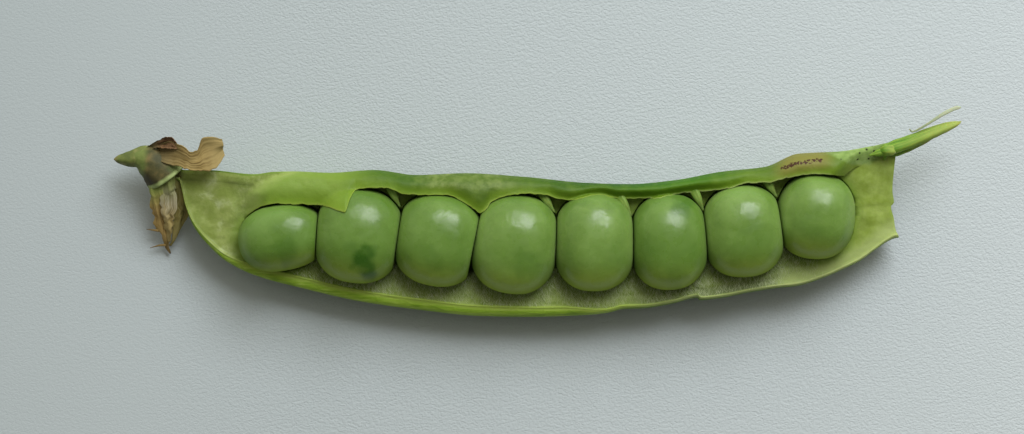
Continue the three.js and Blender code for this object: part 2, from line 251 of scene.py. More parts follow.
light = {
    "distance": 420.0,           # mm from the pod to the middle of the window
    "towardTip": 20.0,           # degrees the window lies from straight above, along +X
    "towardSeam": 40.0,          # and along +Y
    "size": (240.0, 240.0),      # mm
    "color": (0.94, 0.96, 1.0),
    "power": 1.68,               # watts, about three fifths of the light on a level surface
    "sky": (1.25, 0.15),         # even light from the window's side of the room and from its far side
    "skyColor": "#fff9ea",
    "seenSky": 0.62,             # how bright the camera sees the background
}


def makeLight():
    # one wide soft window and an even sky
    scene = bpy.context.scene
    window = bpy.data.objects.new("window", bpy.data.lights.new("window", "AREA"))
    scene.collection.objects.link(window)
    way = Vector((math.tan(math.radians(light["towardTip"])), math.tan(math.radians(light["towardSeam"])), 1))
    window.location = way.normalized() * light["distance"] * metre
    window.rotation_euler = way.to_track_quat("Z", "Y").to_euler()
    window.data.shape = "RECTANGLE"
    window.data.size = light["size"][0] * metre
    window.data.size_y = light["size"][1] * metre
    window.data.energy = light["power"]
    window.data.color = light["color"]
    world = bpy.data.worlds.new("softRoomLight")
    world.use_nodes = True
    tree = world.node_tree
    background = tree.nodes["Background"]
    background.inputs["Color"].default_value = hexColor(light["skyColor"])
    lookup = addNode(tree, "ShaderNodeTexCoord")
    split = addNode(tree, "ShaderNodeSeparateXYZ", {}, {"Vector": lookup.outputs["Generated"]})
    near, far = light["sky"]
    room = addNode(tree, "ShaderNodeMapRange", {"From Min": -0.2, "From Max": 0.9, "To Min": far,
                                                "To Max": near}, {"Value": split.outputs["Y"]})
    # the far background is plain and pale where the camera sees it
    path = addNode(tree, "ShaderNodeLightPath")
    seen = addNode(tree, "ShaderNodeMix", {3: light["seenSky"]},
                   {0: path.outputs["Is Camera Ray"], 2: room.outputs["Result"]})
    tree.links.new(seen.outputs[0], background.inputs["Strength"])
    scene.world = world
    scene.view_settings.view_transform = "Standard"


floor = {
    "size": 3000.0,
    "lightFalloffColors": ("#a6b0b2", "#e6eef1"),    # painted light: the darker and the lighter end of a slow change of tone that stands in for the room's light falling off across the floor
    "lightFalloffScale": (4.6, 21.0, 1.0), "lightFalloffTurn": 0.9, "lightFalloffStart": 0.5,
    "grain": 0.21, "grainDepth": 0.031,  # width of a crease and its height
    "grainStretch": (1.0, 1.35, 1.0), "grainTurn": -0.3,
    "shallow": 0.38, "shallowFrom": (-42.0, -20.0),   # the grain is pressed less deep towards the stem's end
}


def makeFloor():
    # a pale matt sheet with a fine leather grain, with painted light falloff across it
    material = bpy.data.materials.new("paleGrainedSheet")
    material.use_nodes = True
    tree = material.node_tree
    shader = tree.nodes["Principled BSDF"]
    shader.inputs["Roughness"].default_value = 0.75
    shader.inputs["Specular IOR Level"].default_value = 0.25
    place = addNode(tree, "ShaderNodeTexCoord").outputs["Object"]
    # painted light falloff: the tone grows lighter toward +X and toward -Y
    across = addNode(tree, "ShaderNodeMapping", {"Scale": floor["lightFalloffScale"],
                                                 "Rotation": (0, 0, floor["lightFalloffTurn"]),
                                                 "Location": (floor["lightFalloffStart"], 0, 0)}, {"Vector": place})
    low, high = floor["lightFalloffColors"]
    tone = addNode(tree, "ShaderNodeValToRGB", {"stops": [(0.0, low), (1.0, high)]},
                   {"Fac": across.outputs["Vector"]})
    tree.links.new(tone.outputs["Color"], shader.inputs["Base Color"])
    turned = addNode(tree, "ShaderNodeMapping", {"Scale": floor["grainStretch"],
                                                 "Rotation": (0, 0, floor["grainTurn"])}, {"Vector": place})
    grain = addNode(tree, "ShaderNodeTexNoise", {"Scale": 0.6 / (floor["grain"] * metre), "Detail": 2.0,
                                                 "Roughness": 0.55, "Distortion": 0.6},
                    {"Vector": turned.outputs["Vector"]})
    split = addNode(tree, "ShaderNodeSeparateXYZ", {}, {"Vector": place})
    start, end = floor["shallowFrom"]
    pressed = addNode(tree, "ShaderNodeMapRange", {"From Min": start * metre, "From Max": end * metre,
                                                   "To Min": floor["shallow"], "To Max": 1.0},
                      {"Value": split.outputs["X"]})
    creases = addNode(tree, "ShaderNodeMapRange", {"From Min": 0.35, "From Max": 0.6},
                      {"Value": grain.outputs["Fac"], "To Max": pressed.outputs["Result"]})
    bump = addNode(tree, "ShaderNodeBump", {"Strength": 1.0, "Distance": floor["grainDepth"] * metre},
                   {"Height": creases.outputs["Result"]})
    tree.links.new(bump.outputs["Normal"], shader.inputs["Normal"])
    half = floor["size"] / 2
    corners = [(-half, -half, 0), (half, -half, 0), (half, half, 0), (-half, half, 0)]
    sheet = meshPiece("floor", corners, [(0, 1, 2, 3)], material, smooth=False)


makeCamera()
makeLight()
makeFloor()
print("camera, light and floor made")


# materials

def newMaterial(name, roughness, **shaderValues):
    # an empty material, its node tree and its shader
    material = bpy.data.materials.new(name)
    material.use_nodes = True
    shader = material.node_tree.nodes["Principled BSDF"]
    shader.inputs["Roughness"].default_value = roughness
    for key, value in shaderValues.items():
        shader.inputs[key.replace("_", " ")].default_value = value
    return material, material.node_tree, shader


def drawingPlace(tree):
    # where a point lies in the drawing, in millimetres
    place = addNode(tree, "ShaderNodeTexCoord")
    inMm = addNode(tree, "ShaderNodeMapping", {"Scale": (1 / metre, 1 / metre, 1 / metre),
                                               "Location": (restPoint[0], restPoint[1], 0)},
                   {"Vector": place.outputs["Object"]})
    return inMm.outputs["Vector"]


def attributesOf(tree, names):
    # the shares from 0 to 1 that a piece's points carry
    return {name: addNode(tree, "ShaderNodeAttribute", {"attribute_name": name}).outputs["Fac"]
            for name in names}


def strandsOf(tree, scale, detail, distortion=0.0):
    # a streaky pattern that runs along a strand or a sepal, and the share of the way along it
    part = attributesOf(tree, ("turn", "along"))
    flat = addNode(tree, "ShaderNodeCombineXYZ", {}, {"X": part["turn"], "Y": part["along"]})
    drawn = addNode(tree, "ShaderNodeMapping", {"Scale": scale}, {"Vector": flat.outputs["Vector"]})
    strands = addNode(tree, "ShaderNodeTexNoise", {"noise_dimensions": "2D", "Scale": 1.0, "Detail": detail,
                                                   "Distortion": distortion},
                      {"Vector": drawn.outputs["Vector"]})
    return strands.outputs["Fac"], part["along"]


def layered(tree, color, layers):
    # lays colours over another one after another, each where its mask says
    for mask, above in layers:
        settings, links = {"data_type": "RGBA"}, {0: mask, 6: color}
        if isinstance(above, str):
            settings[7] = hexColor(above)
        else:
            links[7] = above
        color = addNode(tree, "ShaderNodeMix", settings, links).outputs[2]
    return color


def finished(material, color, height, strength, depth):
    # gives the shader its colour and its relief; the depth is in millimetres
    tree = material.node_tree
    shader = tree.nodes["Principled BSDF"]
    tree.links.new(color, shader.inputs["Base Color"])
    bump = addNode(tree, "ShaderNodeBump", {"Strength": strength, "Distance": depth * metre},
                   {"Height": height})
    tree.links.new(bump.outputs["Normal"], shader.inputs["Normal"])
    return material


def makePeaSkin():
    # Seed coat of a fresh pea: smooth, waxy, slightly translucent. Its two ends along the pod are painted
    # paler, a painted sheen with some pale bloom, and its lower side is painted lighter as painted bounce
    # light.
    # Shallow dents break up the soft highlight.
    material, tree, shader = newMaterial(
        "waxySeedCoat", 0.3, IOR=1.42, Subsurface_Weight=0.25, Subsurface_Scale=0.0012,
        Subsurface_Radius=(0.8, 1.2, 0.3))
    place = drawingPlace(tree)
    part = attributesOf(tree, ("lowerSide", "flank", "deepTone", "stain"))
    drawn = addNode(tree, "ShaderNodeMapping", {"Scale": (0.5, 1.3, 1.0), "Rotation": (0, 0, 0.5)},
                    {"Vector": place}).outputs["Vector"]
    noise = {}
    for key, vector, scale, detail, roughness, distortion in (
            ("tone", place, 0.2, 3.0, 0.55, 0.0), ("streaks", drawn, 0.7, 4.0, 0.5, 0.8),
            ("polish", place, 0.9, 2.0, 0.5, 0.0), ("dents", place, 0.5, 2.0, 0.45, 0.5)):
        texture = addNode(tree, "ShaderNodeTexNoise", {"Scale": scale, "Detail": detail,
                                                       "Roughness": roughness, "Distortion": distortion},
                          {"Vector": vector})
        noise[key] = texture.outputs["Fac"]
    # the wax shines less at a glancing angle
    facing = addNode(tree, "ShaderNodeLayerWeight", {"Blend": 0.5}).outputs["Facing"]
    share = {}
    for key, value, low, high, toLow, toHigh in (
            ("streaks", noise["streaks"], 0.55, 0.85, 0.0, 0.2), ("glancing", facing, 0.4, 0.8, 0.0, 1.0),
            ("polish", noise["polish"], 0.4, 0.62, 0.23, 0.36), ("shine", facing, 0.35, 0.9, 0.48, 0.1)):
        ranged = addNode(tree, "ShaderNodeMapRange", {"From Min": low, "From Max": high, "To Min": toLow,
                                                      "To Max": toHigh}, {"Value": value})
        share[key] = ranged.outputs["Result"]
    tone = {}
    for key, value, stops in (
            ("middle", noise["tone"], [(0.34, "#587730"), (0.5, "#648338"), (0.66, "#719046")]),
            # painted bounce light: the lower side's tone, lighter and yellower toward its edge
            ("low", part["lowerSide"], [(0.2, "#667f2a"), (0.9, "#90a93c")])):
        tone[key] = addNode(tree, "ShaderNodeValToRGB", {"stops": stops}, {"Fac": value}).outputs["Color"]
    color = layered(tree, tone["middle"], [
        # the pale layer at the pea's two ends is painted sheen with some pale bloom; deepTone and stain are
        # its own darker greens
        (share["streaks"], "#8aa55c"), (part["flank"], "#8ba65c"), (part["deepTone"], "#456a18"),
        # painted bounce light on the lower side, then the pea's own darker stains
        (part["lowerSide"], tone["low"]), (part["stain"], "#2f5810")])
    gloss = addNode(tree, "ShaderNodeMix", {3: 0.75}, {0: share["glancing"], 2: share["polish"]})
    tree.links.new(gloss.outputs[0], shader.inputs["Roughness"])
    tree.links.new(share["shine"], shader.inputs["Specular IOR Level"])
    return finished(material, color, noise["dents"], 1.0, 0.09)


def makePodWall():
    # Fresh pod wall: a smooth, finely veined skin outside, a pale velvety lining inside, and a moist
    # yellow-green torn lip between them. Painted light is laid into some colours: painted shade round the
    # peas, a painted highlight along the strip's torn edge, painted sheen on the top of the strip, and paler
    # paint that lifts the shade on the lip band, on the fold by the neck and on the strip's lower edge. Named
    # point attributes say which part of the wall a point is on.
    material, tree, shader = newMaterial(
        "freshPodWall", 0.55, IOR=1.38, Specular_IOR_Level=0.32, Subsurface_Weight=0.15,
        Subsurface_Scale=0.001, Subsurface_Radius=(0.7, 1.0, 0.25))
    place = drawingPlace(tree)
    part = attributesOf(tree, (
        "inside", "rim", "paleRim", "onStrip", "stripEdge", "foldBand", "scar", "scarHalo", "membrane",
        "neck", "tipEnd", "along", "girth", "lowSide", "paleTint", "lipBand", "greyFlap", "paleBand",
        "nestShade"))
    split = addNode(tree, "ShaderNodeSeparateXYZ", {}, {"Vector": place})
    drawn = addNode(tree, "ShaderNodeMapping", {"Scale": (0.25, 3.0, 3.0)},
                    {"Vector": place}).outputs["Vector"]
    # fine net of veins, about 1.6 mm apart, drawn out along the pod
    net = addNode(tree, "ShaderNodeCombineXYZ", {}, {"X": part["along"], "Y": part["girth"]})
    netTurned = addNode(tree, "ShaderNodeMapping", {"Scale": (0.4, 0.85, 1.0), "Rotation": (0, 0, 0.6)},
                        {"Vector": net.outputs["Vector"]})
    veins = addNode(tree, "ShaderNodeTexVoronoi", {"feature": "DISTANCE_TO_EDGE", "voronoi_dimensions": "2D",
                                                   "Scale": 1.0, "Randomness": 0.9},
                    {"Vector": netTurned.outputs["Vector"]})
    dots = addNode(tree, "ShaderNodeTexVoronoi", {"Scale": 1.4, "Randomness": 1.0}, {"Vector": place})
    noise = {}
    for key, vector, scale, detail, roughness, distortion in (
            ("mottle", place, 0.55, 4.0, 0.6, 0.0), ("paleBlotchesAndSheen", place, 1.1, 4.0, 0.6, 0.0),
            ("fibres", drawn, 1.0, 3.0, 0.6, 0.0), ("crumbs", place, 3.0, 2.0, 0.6, 0.6),
            ("flock", place, 1.5, 6.0, 0.7, 0.0), ("tip", place, 0.8, 5.0, 0.6, 0.0),
            ("neck", place, 0.5, 4.0, 0.6, 0.3), ("membrane", place, 0.9, 4.0, 0.6, 0.0)):
        texture = addNode(tree, "ShaderNodeTexNoise", {"Scale": scale, "Detail": detail,
                                                       "Roughness": roughness, "Distortion": distortion},
                          {"Vector": vector})
        noise[key] = texture.outputs["Fac"]
    share = {}
    for key, value, low, high, toLow, toHigh in (
            ("wayAlong", split.outputs["X"], -40.0, 45.0, 0.0, 1.0),
            ("mottle", noise["mottle"], 0.45, 0.75, 0.0, 0.25),
            ("paleBlotchesAndSheen", noise["paleBlotchesAndSheen"], 0.4, 0.65, 0.1, 0.6),
            ("vein", veins.outputs["Distance"], 0.0, 0.09, 1.0, 0.0),
            ("dots", dots.outputs["Distance"], 0.12, 0.22, 1.0, 0.0),
            ("offStrip", part["onStrip"], 0.0, 1.0, 1.0, 0.0),
            ("outside", part["inside"], 0.0, 1.0, 1.0, 0.0), ("dull", part["inside"], 0.0, 1.0, 0.5, 0.8)):
        ranged = addNode(tree, "ShaderNodeMapRange", {"From Min": low, "From Max": high, "To Min": toLow,
                                                      "To Max": toHigh}, {"Value": value})
        share[key] = ranged.outputs["Result"]
    both = {}
    for key, first, second in (
            ("vein", share["vein"], share["offStrip"]), ("paleBlotchesAndSheen", part["paleTint"], share["paleBlotchesAndSheen"]),
            ("scar", part["scar"], noise["crumbs"]), ("dots", share["dots"], part["membrane"])):
        product = addNode(tree, "ShaderNodeMath", {"operation": "MULTIPLY"}, {0: first, 1: second})
        both[key] = product.outputs["Value"]
    faintVein = addNode(tree, "ShaderNodeMath", {"operation": "MULTIPLY", 1: 0.16}, {0: both["vein"]})
    specks = addNode(tree, "ShaderNodeMapRange", {"From Min": 0.38, "From Max": 0.46},
                     {"Value": both["scar"]})
    tone = {}
    for key, value, stops in (
            # green along the pod, deepest on the cord in the middle
            ("skin", share["wayAlong"], [
                (0.02, "#516c24"), (0.10, "#5c7828"), (0.14, "#74903a"), (0.25, "#6c882b"),
                (0.30, "#426212"), (0.345, "#36570a"), (0.37, "#4a6416"), (0.44, "#476118"),
                (0.50, "#3d5c0e"), (0.58, "#244d07"), (0.70, "#33640a"), (0.76, "#456613"),
                (0.84, "#53691f"), (0.93, "#5c7a22"), (0.99, "#42701a")]),
            # the lip band: its own yellow-green, painted brighter to lift the shade on a side that faces away
            # from the window
            ("band", noise["fibres"], [(0.38, "#7a9c2a"), (0.5, "#8cae34"), (0.64, "#a2bd50")]),
            ("lining", noise["flock"], [(0.32, "#70833a"), (0.5, "#819349"), (0.68, "#94a362")]),
            ("tip", noise["tip"], [(0.35, "#7c9038"), (0.65, "#8fa250")]),
            ("neck", noise["neck"], [(0.4, "#7a8a42"), (0.55, "#8a9854"), (0.7, "#a6b27c")]),
            ("membrane", noise["membrane"], [(0.35, "#68843a"), (0.65, "#8ba45c")]),
            ("rim", part["paleRim"], [(0.0, "#9db250"), (1.0, "#a3b070")])):
        tone[key] = addNode(tree, "ShaderNodeValToRGB", {"stops": stops}, {"Fac": value}).outputs["Color"]
    lining = layered(tree, tone["lining"], [
        (part["tipEnd"], tone["tip"]), (part["neck"], tone["neck"]), (part["greyFlap"], "#626d4a"),
        # painted shade: darker olive on the lining close round the peas
        (part["paleBand"], "#a4b274"), (part["nestShade"], "#6a8a24")])
    color = layered(tree, tone["skin"], [
        # the strip's edge tone is partly its own yellower colour and partly painted light
        (part["lowSide"], "#65861f"), (share["mottle"], "#7a9138"), (part["stripEdge"], "#76941f"),
        # pale patches on the strip: a real whitish blotch and painted sheen
        (faintVein.outputs["Value"], "#869d50"), (both["paleBlotchesAndSheen"], "#8f9d5e"),
        # the lip band, partly painted light
        (part["lipBand"], tone["band"]),
        # brown scar in its buff halo
        (part["scarHalo"], "#7c7838"), (specks.outputs["Result"], "#3c1d05"),
        # the pale band on the fold is painted light
        (part["inside"], lining), (part["foldBand"], "#a2b368"),
        # dry membrane with a few black dots
        (part["membrane"], tone["membrane"]), (both["dots"], "#1f2410"),
        # the pale torn lip, and a painted highlight along the strip's edge
        (part["rim"], tone["rim"])])
    moist = addNode(tree, "ShaderNodeMix", {3: 0.34}, {0: part["neck"], 2: share["dull"]})
    tree.links.new(moist.outputs[0], shader.inputs["Roughness"])
    outerVein = addNode(tree, "ShaderNodeMath", {"operation": "MULTIPLY"},
                        {0: both["vein"], 1: share["outside"]})
    relief = addNode(tree, "ShaderNodeMath", {"operation": "MULTIPLY_ADD", 1: 0.35},
                     {0: outerVein.outputs["Value"], 2: noise["flock"]})
    return finished(material, color, relief.outputs["Value"], 0.7, 0.09)


def makeFibre(name, pale, deep, roughness, end):
    # plant fibre: moist strands side by side, and another tone toward its end
    material, tree, _ = newMaterial(name, roughness, IOR=1.38, Specular_IOR_Level=0.35,
                                    Subsurface_Weight=0.1, Subsurface_Scale=0.001)
    strands, along = strandsOf(tree, (14.0, 2.5, 1.0), 3.0)
    color = addNode(tree, "ShaderNodeValToRGB", {"stops": [(0.35, deep), (0.65, pale)]}, {"Fac": strands})
    nearEnd = addNode(tree, "ShaderNodeMapRange", {"From Min": 0.3, "From Max": 1.0, "To Max": 0.85},
                      {"Value": along})
    color = layered(tree, color.outputs["Color"], [(nearEnd.outputs["Result"], end)])
    return finished(material, color, strands, 0.4, 0.06)


def makeStemSkin():
    # green stem skin, dull, with a brown dried cut end
    material, tree, _ = newMaterial("stemSkin", 0.6, IOR=1.42)
    part = attributesOf(tree, ("along",))
    blotch = addNode(tree, "ShaderNodeTexNoise", {"Scale": 1.1, "Detail": 4.0},
                     {"Vector": drawingPlace(tree)})
    stops = [(0.35, "#56622d"), (0.5, "#657034"), (0.62, "#777b44")]
    green = addNode(tree, "ShaderNodeValToRGB", {"stops": stops}, {"Fac": blotch.outputs["Fac"]})
    dry = addNode(tree, "ShaderNodeMapRange", {"From Min": 0.0, "From Max": 0.14, "To Min": 0.9,
                                               "To Max": 0.0}, {"Value": part["along"]})
    color = layered(tree, green.outputs["Color"], [(dry.outputs["Result"], "#8c8050")])
    return finished(material, color, blotch.outputs["Fac"], 0.6, 0.12)


def makeCalyxFlesh():
    # the calyx: green near the stem, withered brown further on, with a pale translucent lip
    material, tree, _ = newMaterial("witheredCalyx", 0.65, IOR=1.42)
    blotch = addNode(tree, "ShaderNodeTexNoise", {"Scale": 1.0, "Detail": 5.0},
                     {"Vector": drawingPlace(tree)}).outputs["Fac"]
    tone = {}
    for key, stops in (
            ("fresh", [(0.35, "#58682e"), (0.65, "#717f3e")]),
            ("withered", [(0.35, "#404122"), (0.52, "#54502c"), (0.68, "#70633a")]),
            ("burnt", [(0.35, "#2c2912"), (0.65, "#443f1e")]),
            ("lip", [(0.35, "#899b5b"), (0.65, "#a1b174")])):
        tone[key] = addNode(tree, "ShaderNodeValToRGB", {"stops": stops}, {"Fac": blotch}).outputs["Color"]
    layers = []
    for key, amount in attributesOf(tree, ("withered", "burnt", "lip")).items():
        patchy = addNode(tree, "ShaderNodeMath", {"operation": "MULTIPLY_ADD", 1: 0.5},
                         {0: blotch, 2: amount})
        mask = addNode(tree, "ShaderNodeMapRange", {"From Min": 0.35, "From Max": 1.15},
                       {"Value": patchy.outputs["Value"]})
        layers.append((mask.outputs["Result"], tone[key]))
    return finished(material, layered(tree, tone["fresh"], layers), blotch, 0.7, 0.15)


def makeDrySepal(name, base, light, mid, vein, end, endFrom=0.5):
    # dried sepal: thin as paper, with raised darker veins that run from its base to its tip
    material, tree, _ = newMaterial(name, 0.8, IOR=1.4)
    ribs, along = strandsOf(tree, (15.0, 1.3, 1.0), 4.0, 0.3)
    blotch = addNode(tree, "ShaderNodeTexNoise", {"Scale": 1.2, "Detail": 3.0},
                     {"Vector": drawingPlace(tree)})
    color = addNode(tree, "ShaderNodeValToRGB", {"stops": [(0.3, vein), (0.5, mid), (0.72, light)]},
                    {"Fac": ribs})
    layers = []
    for above, value, low, high, toLow, toHigh in (
            (light, blotch.outputs["Fac"], 0.45, 0.7, 0.0, 0.5), (base, along, 0.12, 0.42, 0.95, 0.0),
            (end, along, endFrom, endFrom + 0.25, 0.0, 0.9)):
        mask = addNode(tree, "ShaderNodeMapRange", {"From Min": low, "From Max": high, "To Min": toLow,
                                                    "To Max": toHigh}, {"Value": value})
        layers.append((mask.outputs["Result"], above))
    return finished(material, layered(tree, color.outputs["Color"], layers), ribs, 0.6, 0.06)


def makeHair():
    # short whitish hairs of the lining, moist
    material, tree, shader = newMaterial("liningHair", 0.55, IOR=1.4)
    blotch = addNode(tree, "ShaderNodeTexNoise", {"Scale": 1.3}, {"Vector": drawingPlace(tree)})
    color = addNode(tree, "ShaderNodeValToRGB", {"stops": [(0.35, "#a8b680"), (0.65, "#c6cfa8")]},
                    {"Fac": blotch.outputs["Fac"]})
    tree.links.new(color.outputs["Color"], shader.inputs["Base Color"])
    return material


materials = {
    "pea": makePeaSkin(),
    "wall": makePodWall(),
    "stalk": makeFibre("moistSeedStalk", "#7a9640", "#567822", 0.55, "#8fa55c"),
    "string": makeFibre("greenSeamFibre", "#7d9c38", "#547f20", 0.6, "#a3ae58"),
    "thread": makeFibre("paleDryThread", "#a5b290", "#7d8f64", 0.6, "#b4bca0"),
    "stem": makeStemSkin(),
    "calyx": makeCalyxFlesh(),
    "sepalTan": makeDrySepal("tanPaperySepal", "#665a36", "#a8945e", "#927d48", "#705c30", "#9c8a58", 0.65),
    "sepalBrown": makeDrySepal("brownFoldedSepal", "#565030", "#80623f", "#664a30", "#4a311e", "#765a3c"),
    "sepalOchre": makeDrySepal("ochrePaperySepal", "#7a8a42", "#b89f64", "#a68c50", "#82693c", "#54442a",
                               0.76),
    "sepalGrey": makeDrySepal("greyPaperySepal", "#747e40", "#b4ae93", "#a09879", "#887c52", "#9c8a52", 0.4),
    "sepalOlive": makeDrySepal("olivePaperySepal", "#5a5a28", "#a39a62", "#948a4c", "#7c7038", "#928650"),
    "hair": makeHair(),
}
print("materials made:", len(materials))


# peas

peas = [
    {"x": -25.3, "y": -2.25, "along": 4.85, "across": 3.68, "high": 4.0, "lean": 11, "deepTone": 0.35},
    {"x": -16.9, "y": -2.05, "along": 4.95, "across": 5.25, "high": 4.4, "lean": -6, "deepTone": 0.3},
    {"x": -8.1, "y": -2.5, "along": 4.95, "across": 5.15, "high": 4.4, "lean": -9, "deepTone": 0.3},
    {"x": 0.3, "y": -2.97, "along": 4.9, "across": 5.5, "high": 4.45, "lean": -7, "deepTone": 0.1},
    {"x": 9.05, "y": -2.78, "along": 4.6, "across": 5.38, "high": 4.4, "lean": 0, "deepTone": 0.0},
    {"x": 17.3, "y": -2.75, "along": 4.35, "across": 5.3, "high": 4.3, "lean": 1, "deepTone": 0.4},
    {"x": 25.45, "y": -1.54, "along": 4.6, "across": 5.1, "high": 4.3, "lean": 3, "deepTone": 0.1},
    {"x": 33.45, "y": 0.1, "along": 4.3, "across": 4.72, "high": 4.25, "lean": -5, "deepTone": 0.0},
]
# where a pea presses on the next one: a point of the contact and its lean in degrees
contacts = [(-21.4, -1.4, -4), (-12.4, -1.4, -9), (-3.95, -2.0, -12), (4.85, -2.3, -2),
            (13.3, -2.6, 0), (21.2, -1.2, 5), (29.5, -0.9, 8)]
peaShape = {"fullness": 2.35, "floor": 1.3, "gap": 0.04, "softness": 0.1, "fineness": 6}
# darker green patches: x, y, size and strength
peaStains = [
    (-16.2, -4.5, 2.0, 0.95), (-15.8, -5.2, 1.9, 0.9), (-17.2, -3.4, 1.3, 0.3), (18.4, 1.15, 1.7, 0.55),
    (-24.6, -3.9, 1.9, 0.35), (17.5, -6.6, 1.8, 0.3), (-8.6, -4.9, 2.0, 0.2), (1.6, -5.2, 2.2, 0.2),
    (24.6, -4.0, 2.0, 0.15)]


def peaLocal(pea, x, y):
    # a place in the pea's own turned axes
    lean = math.radians(pea["lean"])
    u = (x - pea["x"]) * math.cos(lean) + (y - pea["y"]) * math.sin(lean)
    v = (y - pea["y"]) * math.cos(lean) - (x - pea["x"]) * math.sin(lean)
    return u, v


def peaReach(x, y):
    # how far a place lies outside the outline of the row of peas, negative inside it
    p = peaShape["fullness"]
    reach = np.full(np.broadcast(x, y).shape, 1e3)
    for pea in peas:
        u, v = peaLocal(pea, x, y)
        out = (np.abs(u / pea["along"]) ** p + np.abs(v / pea["across"]) ** p) ** (1 / p) - 1
        reach = np.minimum(reach, out * min(pea["along"], pea["across"]))
    return reach


def peaHeight(x, y, side, grow=0.0):
    # top (side 1) or underside (side -1) of the row of peas at a place, each pea grown a little
    p = peaShape["fullness"]
    best = np.full(np.broadcast(x, y).shape, -100.0)
    for pea in peas:
        u, v = peaLocal(pea, x, y)
        left = 1 - np.abs(u / (pea["along"] + grow)) ** p - np.abs(v / (pea["across"] + grow)) ** p
        high = (pea["high"] + grow) * np.maximum(left, 0) ** (1 / p)
        middle = peaShape["floor"] + pea["high"]
        best = np.maximum(best, np.where(left > 0, side * middle + high, -100.0))
    return side * best


def press(points, contact, side):
    # pushes points softly back where they pass a contact; side is 1 for the pea before it and -1 for the next
    x, y, lean = contact[0], contact[1], math.radians(contact[2])
    direction = np.array([math.cos(lean), math.sin(lean)])
    along = (points[:, :2] - [x, y]) @ direction
    beyond = side * along + peaShape["gap"] / 2
    push = peaShape["softness"] * np.log1p(np.exp(np.clip(beyond / peaShape["softness"], -40, 40)))
    points[:, :2] -= side * push[:, None] * direction


def makePea(number):
    pea = peas[number]
    ball = bmesh.new()
    bmesh.ops.create_icosphere(ball, subdivisions=peaShape["fineness"], radius=1)
    points = np.array([v.co[:] for v in ball.verts])
    faces = [tuple(v.index for v in f.verts) for f in ball.faces]
    ball.free()
    p = peaShape["fullness"]
    size = np.array([pea["along"], pea["across"], pea["high"]])
    points *= (np.abs(points / size) ** p).sum(1)[:, None] ** (-1 / p)
    # painted bounce light: the side toward the pod's lower lip, which faces away from the window, is painted
    # lighter and yellower toward its edge
    lowerSide = 0.95 * smoothStep(-points[:, 1] / pea["across"], 0.2, 1.0)
    # painted sheen with some pale bloom: paler toward the pea's two ends along the pod
    flank = 0.45 * smoothStep(np.abs(points[:, 0]) / pea["along"], 0.62, 0.95)
    swell = wanderOver(points[:, 0] + 9 * number, points[:, 1] + points[:, 2], 3.2, 5)
    points *= (1 + 0.008 * swell)[:, None]
    lean = math.radians(pea["lean"])
    x = pea["x"] + points[:, 0] * math.cos(lean) - points[:, 1] * math.sin(lean)
    y = pea["y"] + points[:, 0] * math.sin(lean) + points[:, 1] * math.cos(lean)
    points = np.column_stack([x, y, peaShape["floor"] + pea["high"] + points[:, 2]])
    if number > 0:
        press(points, contacts[number - 1], -1)
    if number < len(contacts):
        press(points, contacts[number], 1)
    stain = np.zeros(len(points))
    ragged = 0.6 * wanderOver(points[:, 0], points[:, 1], 0.8, 8)
    for sx, sy, reach, strength in peaStains:
        away = np.hypot(points[:, 0] - sx, points[:, 1] - sy) + ragged
        stain = np.maximum(stain, strength * (1 - smoothStep(away, 0.3 * reach, reach)) * (points[:, 2] > 5))
    piece = meshPiece(f"peaSeed{number + 1}", points, faces, materials["pea"],
                      {"lowerSide": lowerSide, "flank": flank, "stain": stain,
                       "deepTone": np.full(len(points), pea["deepTone"])})
    settle(piece, f"pea_{number + 1}")


for number in range(len(peas)):
    makePea(number)
print("peas made:", len(peas))


# shell

shell = {
    "left": -37.5, "right": 41.9, "endReach": 0.3, "spacing": 0.27,
    "outerFullness": 2.3, "restHalfWidth": 1.6, "floorThickness": 1.0,
    "seamThickness": 0.8, "seamRib": 0.12,
    "stripThickness": (0.14, 0.4),             # at its edge and by the seam
    "stripReach": 2.6,                         # distance from the seam at which the strip is highest
    "pinchDepth": 0.3, "pinchReach": 1.7,      # the wall is drawn in where two peas meet
    "rimRaggedness": 0.12, "peaClearance": 0.05,
    "nestDip": 0.25, "nestDipWidth": 1.4,      # the lining sinks a little beside the peas
    "creaseDepth": 0.22, "creaseWidth": 0.13,  # of the line along the torn inner layer of the lip
}
# seams and edges of the pod along its length, each as (X, value) points
upperSeamY = smoothThrough([
    (-37.5, 5.3), (-36.6, 5.25), (-36.1, 5.2), (-33, 5.05), (-28.3, 4.6), (-26.3, 4.85), (-24, 4.9),
    (-20, 4.75), (-15.1, 5.05), (-10.5, 4.5), (-5.2, 4.7), (1.4, 4.3), (8, 3.65), (13, 3.5), (18, 3.95),
    (22.9, 4.85), (27.8, 5.4), (31.5, 6.85), (36.1, 7.1), (39.4, 7.7), (41.9, 8.2)])
upperSeamZ = smoothThrough([
    (-37.5, 4.4), (-36.2, 5.0), (-30, 5.8), (-20, 6.3), (20, 6.2), (33, 6.3), (41.9, 6.4)])
lowerSeamY = smoothThrough([
    (-37.5, 4.2), (-36.7, 3.9), (-36.2, 1.6), (-35.8, 0.3), (-35.1, -1.2), (-33.8, -2.9), (-31.6, -4.9),
    (-28.3, -6.5), (-23.3, -7.85), (-16.7, -9.35), (-10, -10.3), (-3.5, -10.95), (2, -11.05), (8, -10.85),
    (10.6, -10.6), (12.2, -10.2), (14.6, -10.1), (17.9, -9.55), (20.45, -8.95), (20.75, -9.2),
    (23.2, -8.95), (26.2, -8.35), (29.5, -7.85), (31.2, -7.7), (34.4, -6.75), (37.7, -5.2), (41.9, -2.3)])
lowerSeamZ = smoothThrough([
    (-37.5, 4.3), (-36.7, 4.4), (-36.1, 4.2), (-30, 4.1), (0, 4.2), (20, 4.1), (33, 3.9), (41.9, 3.9)])
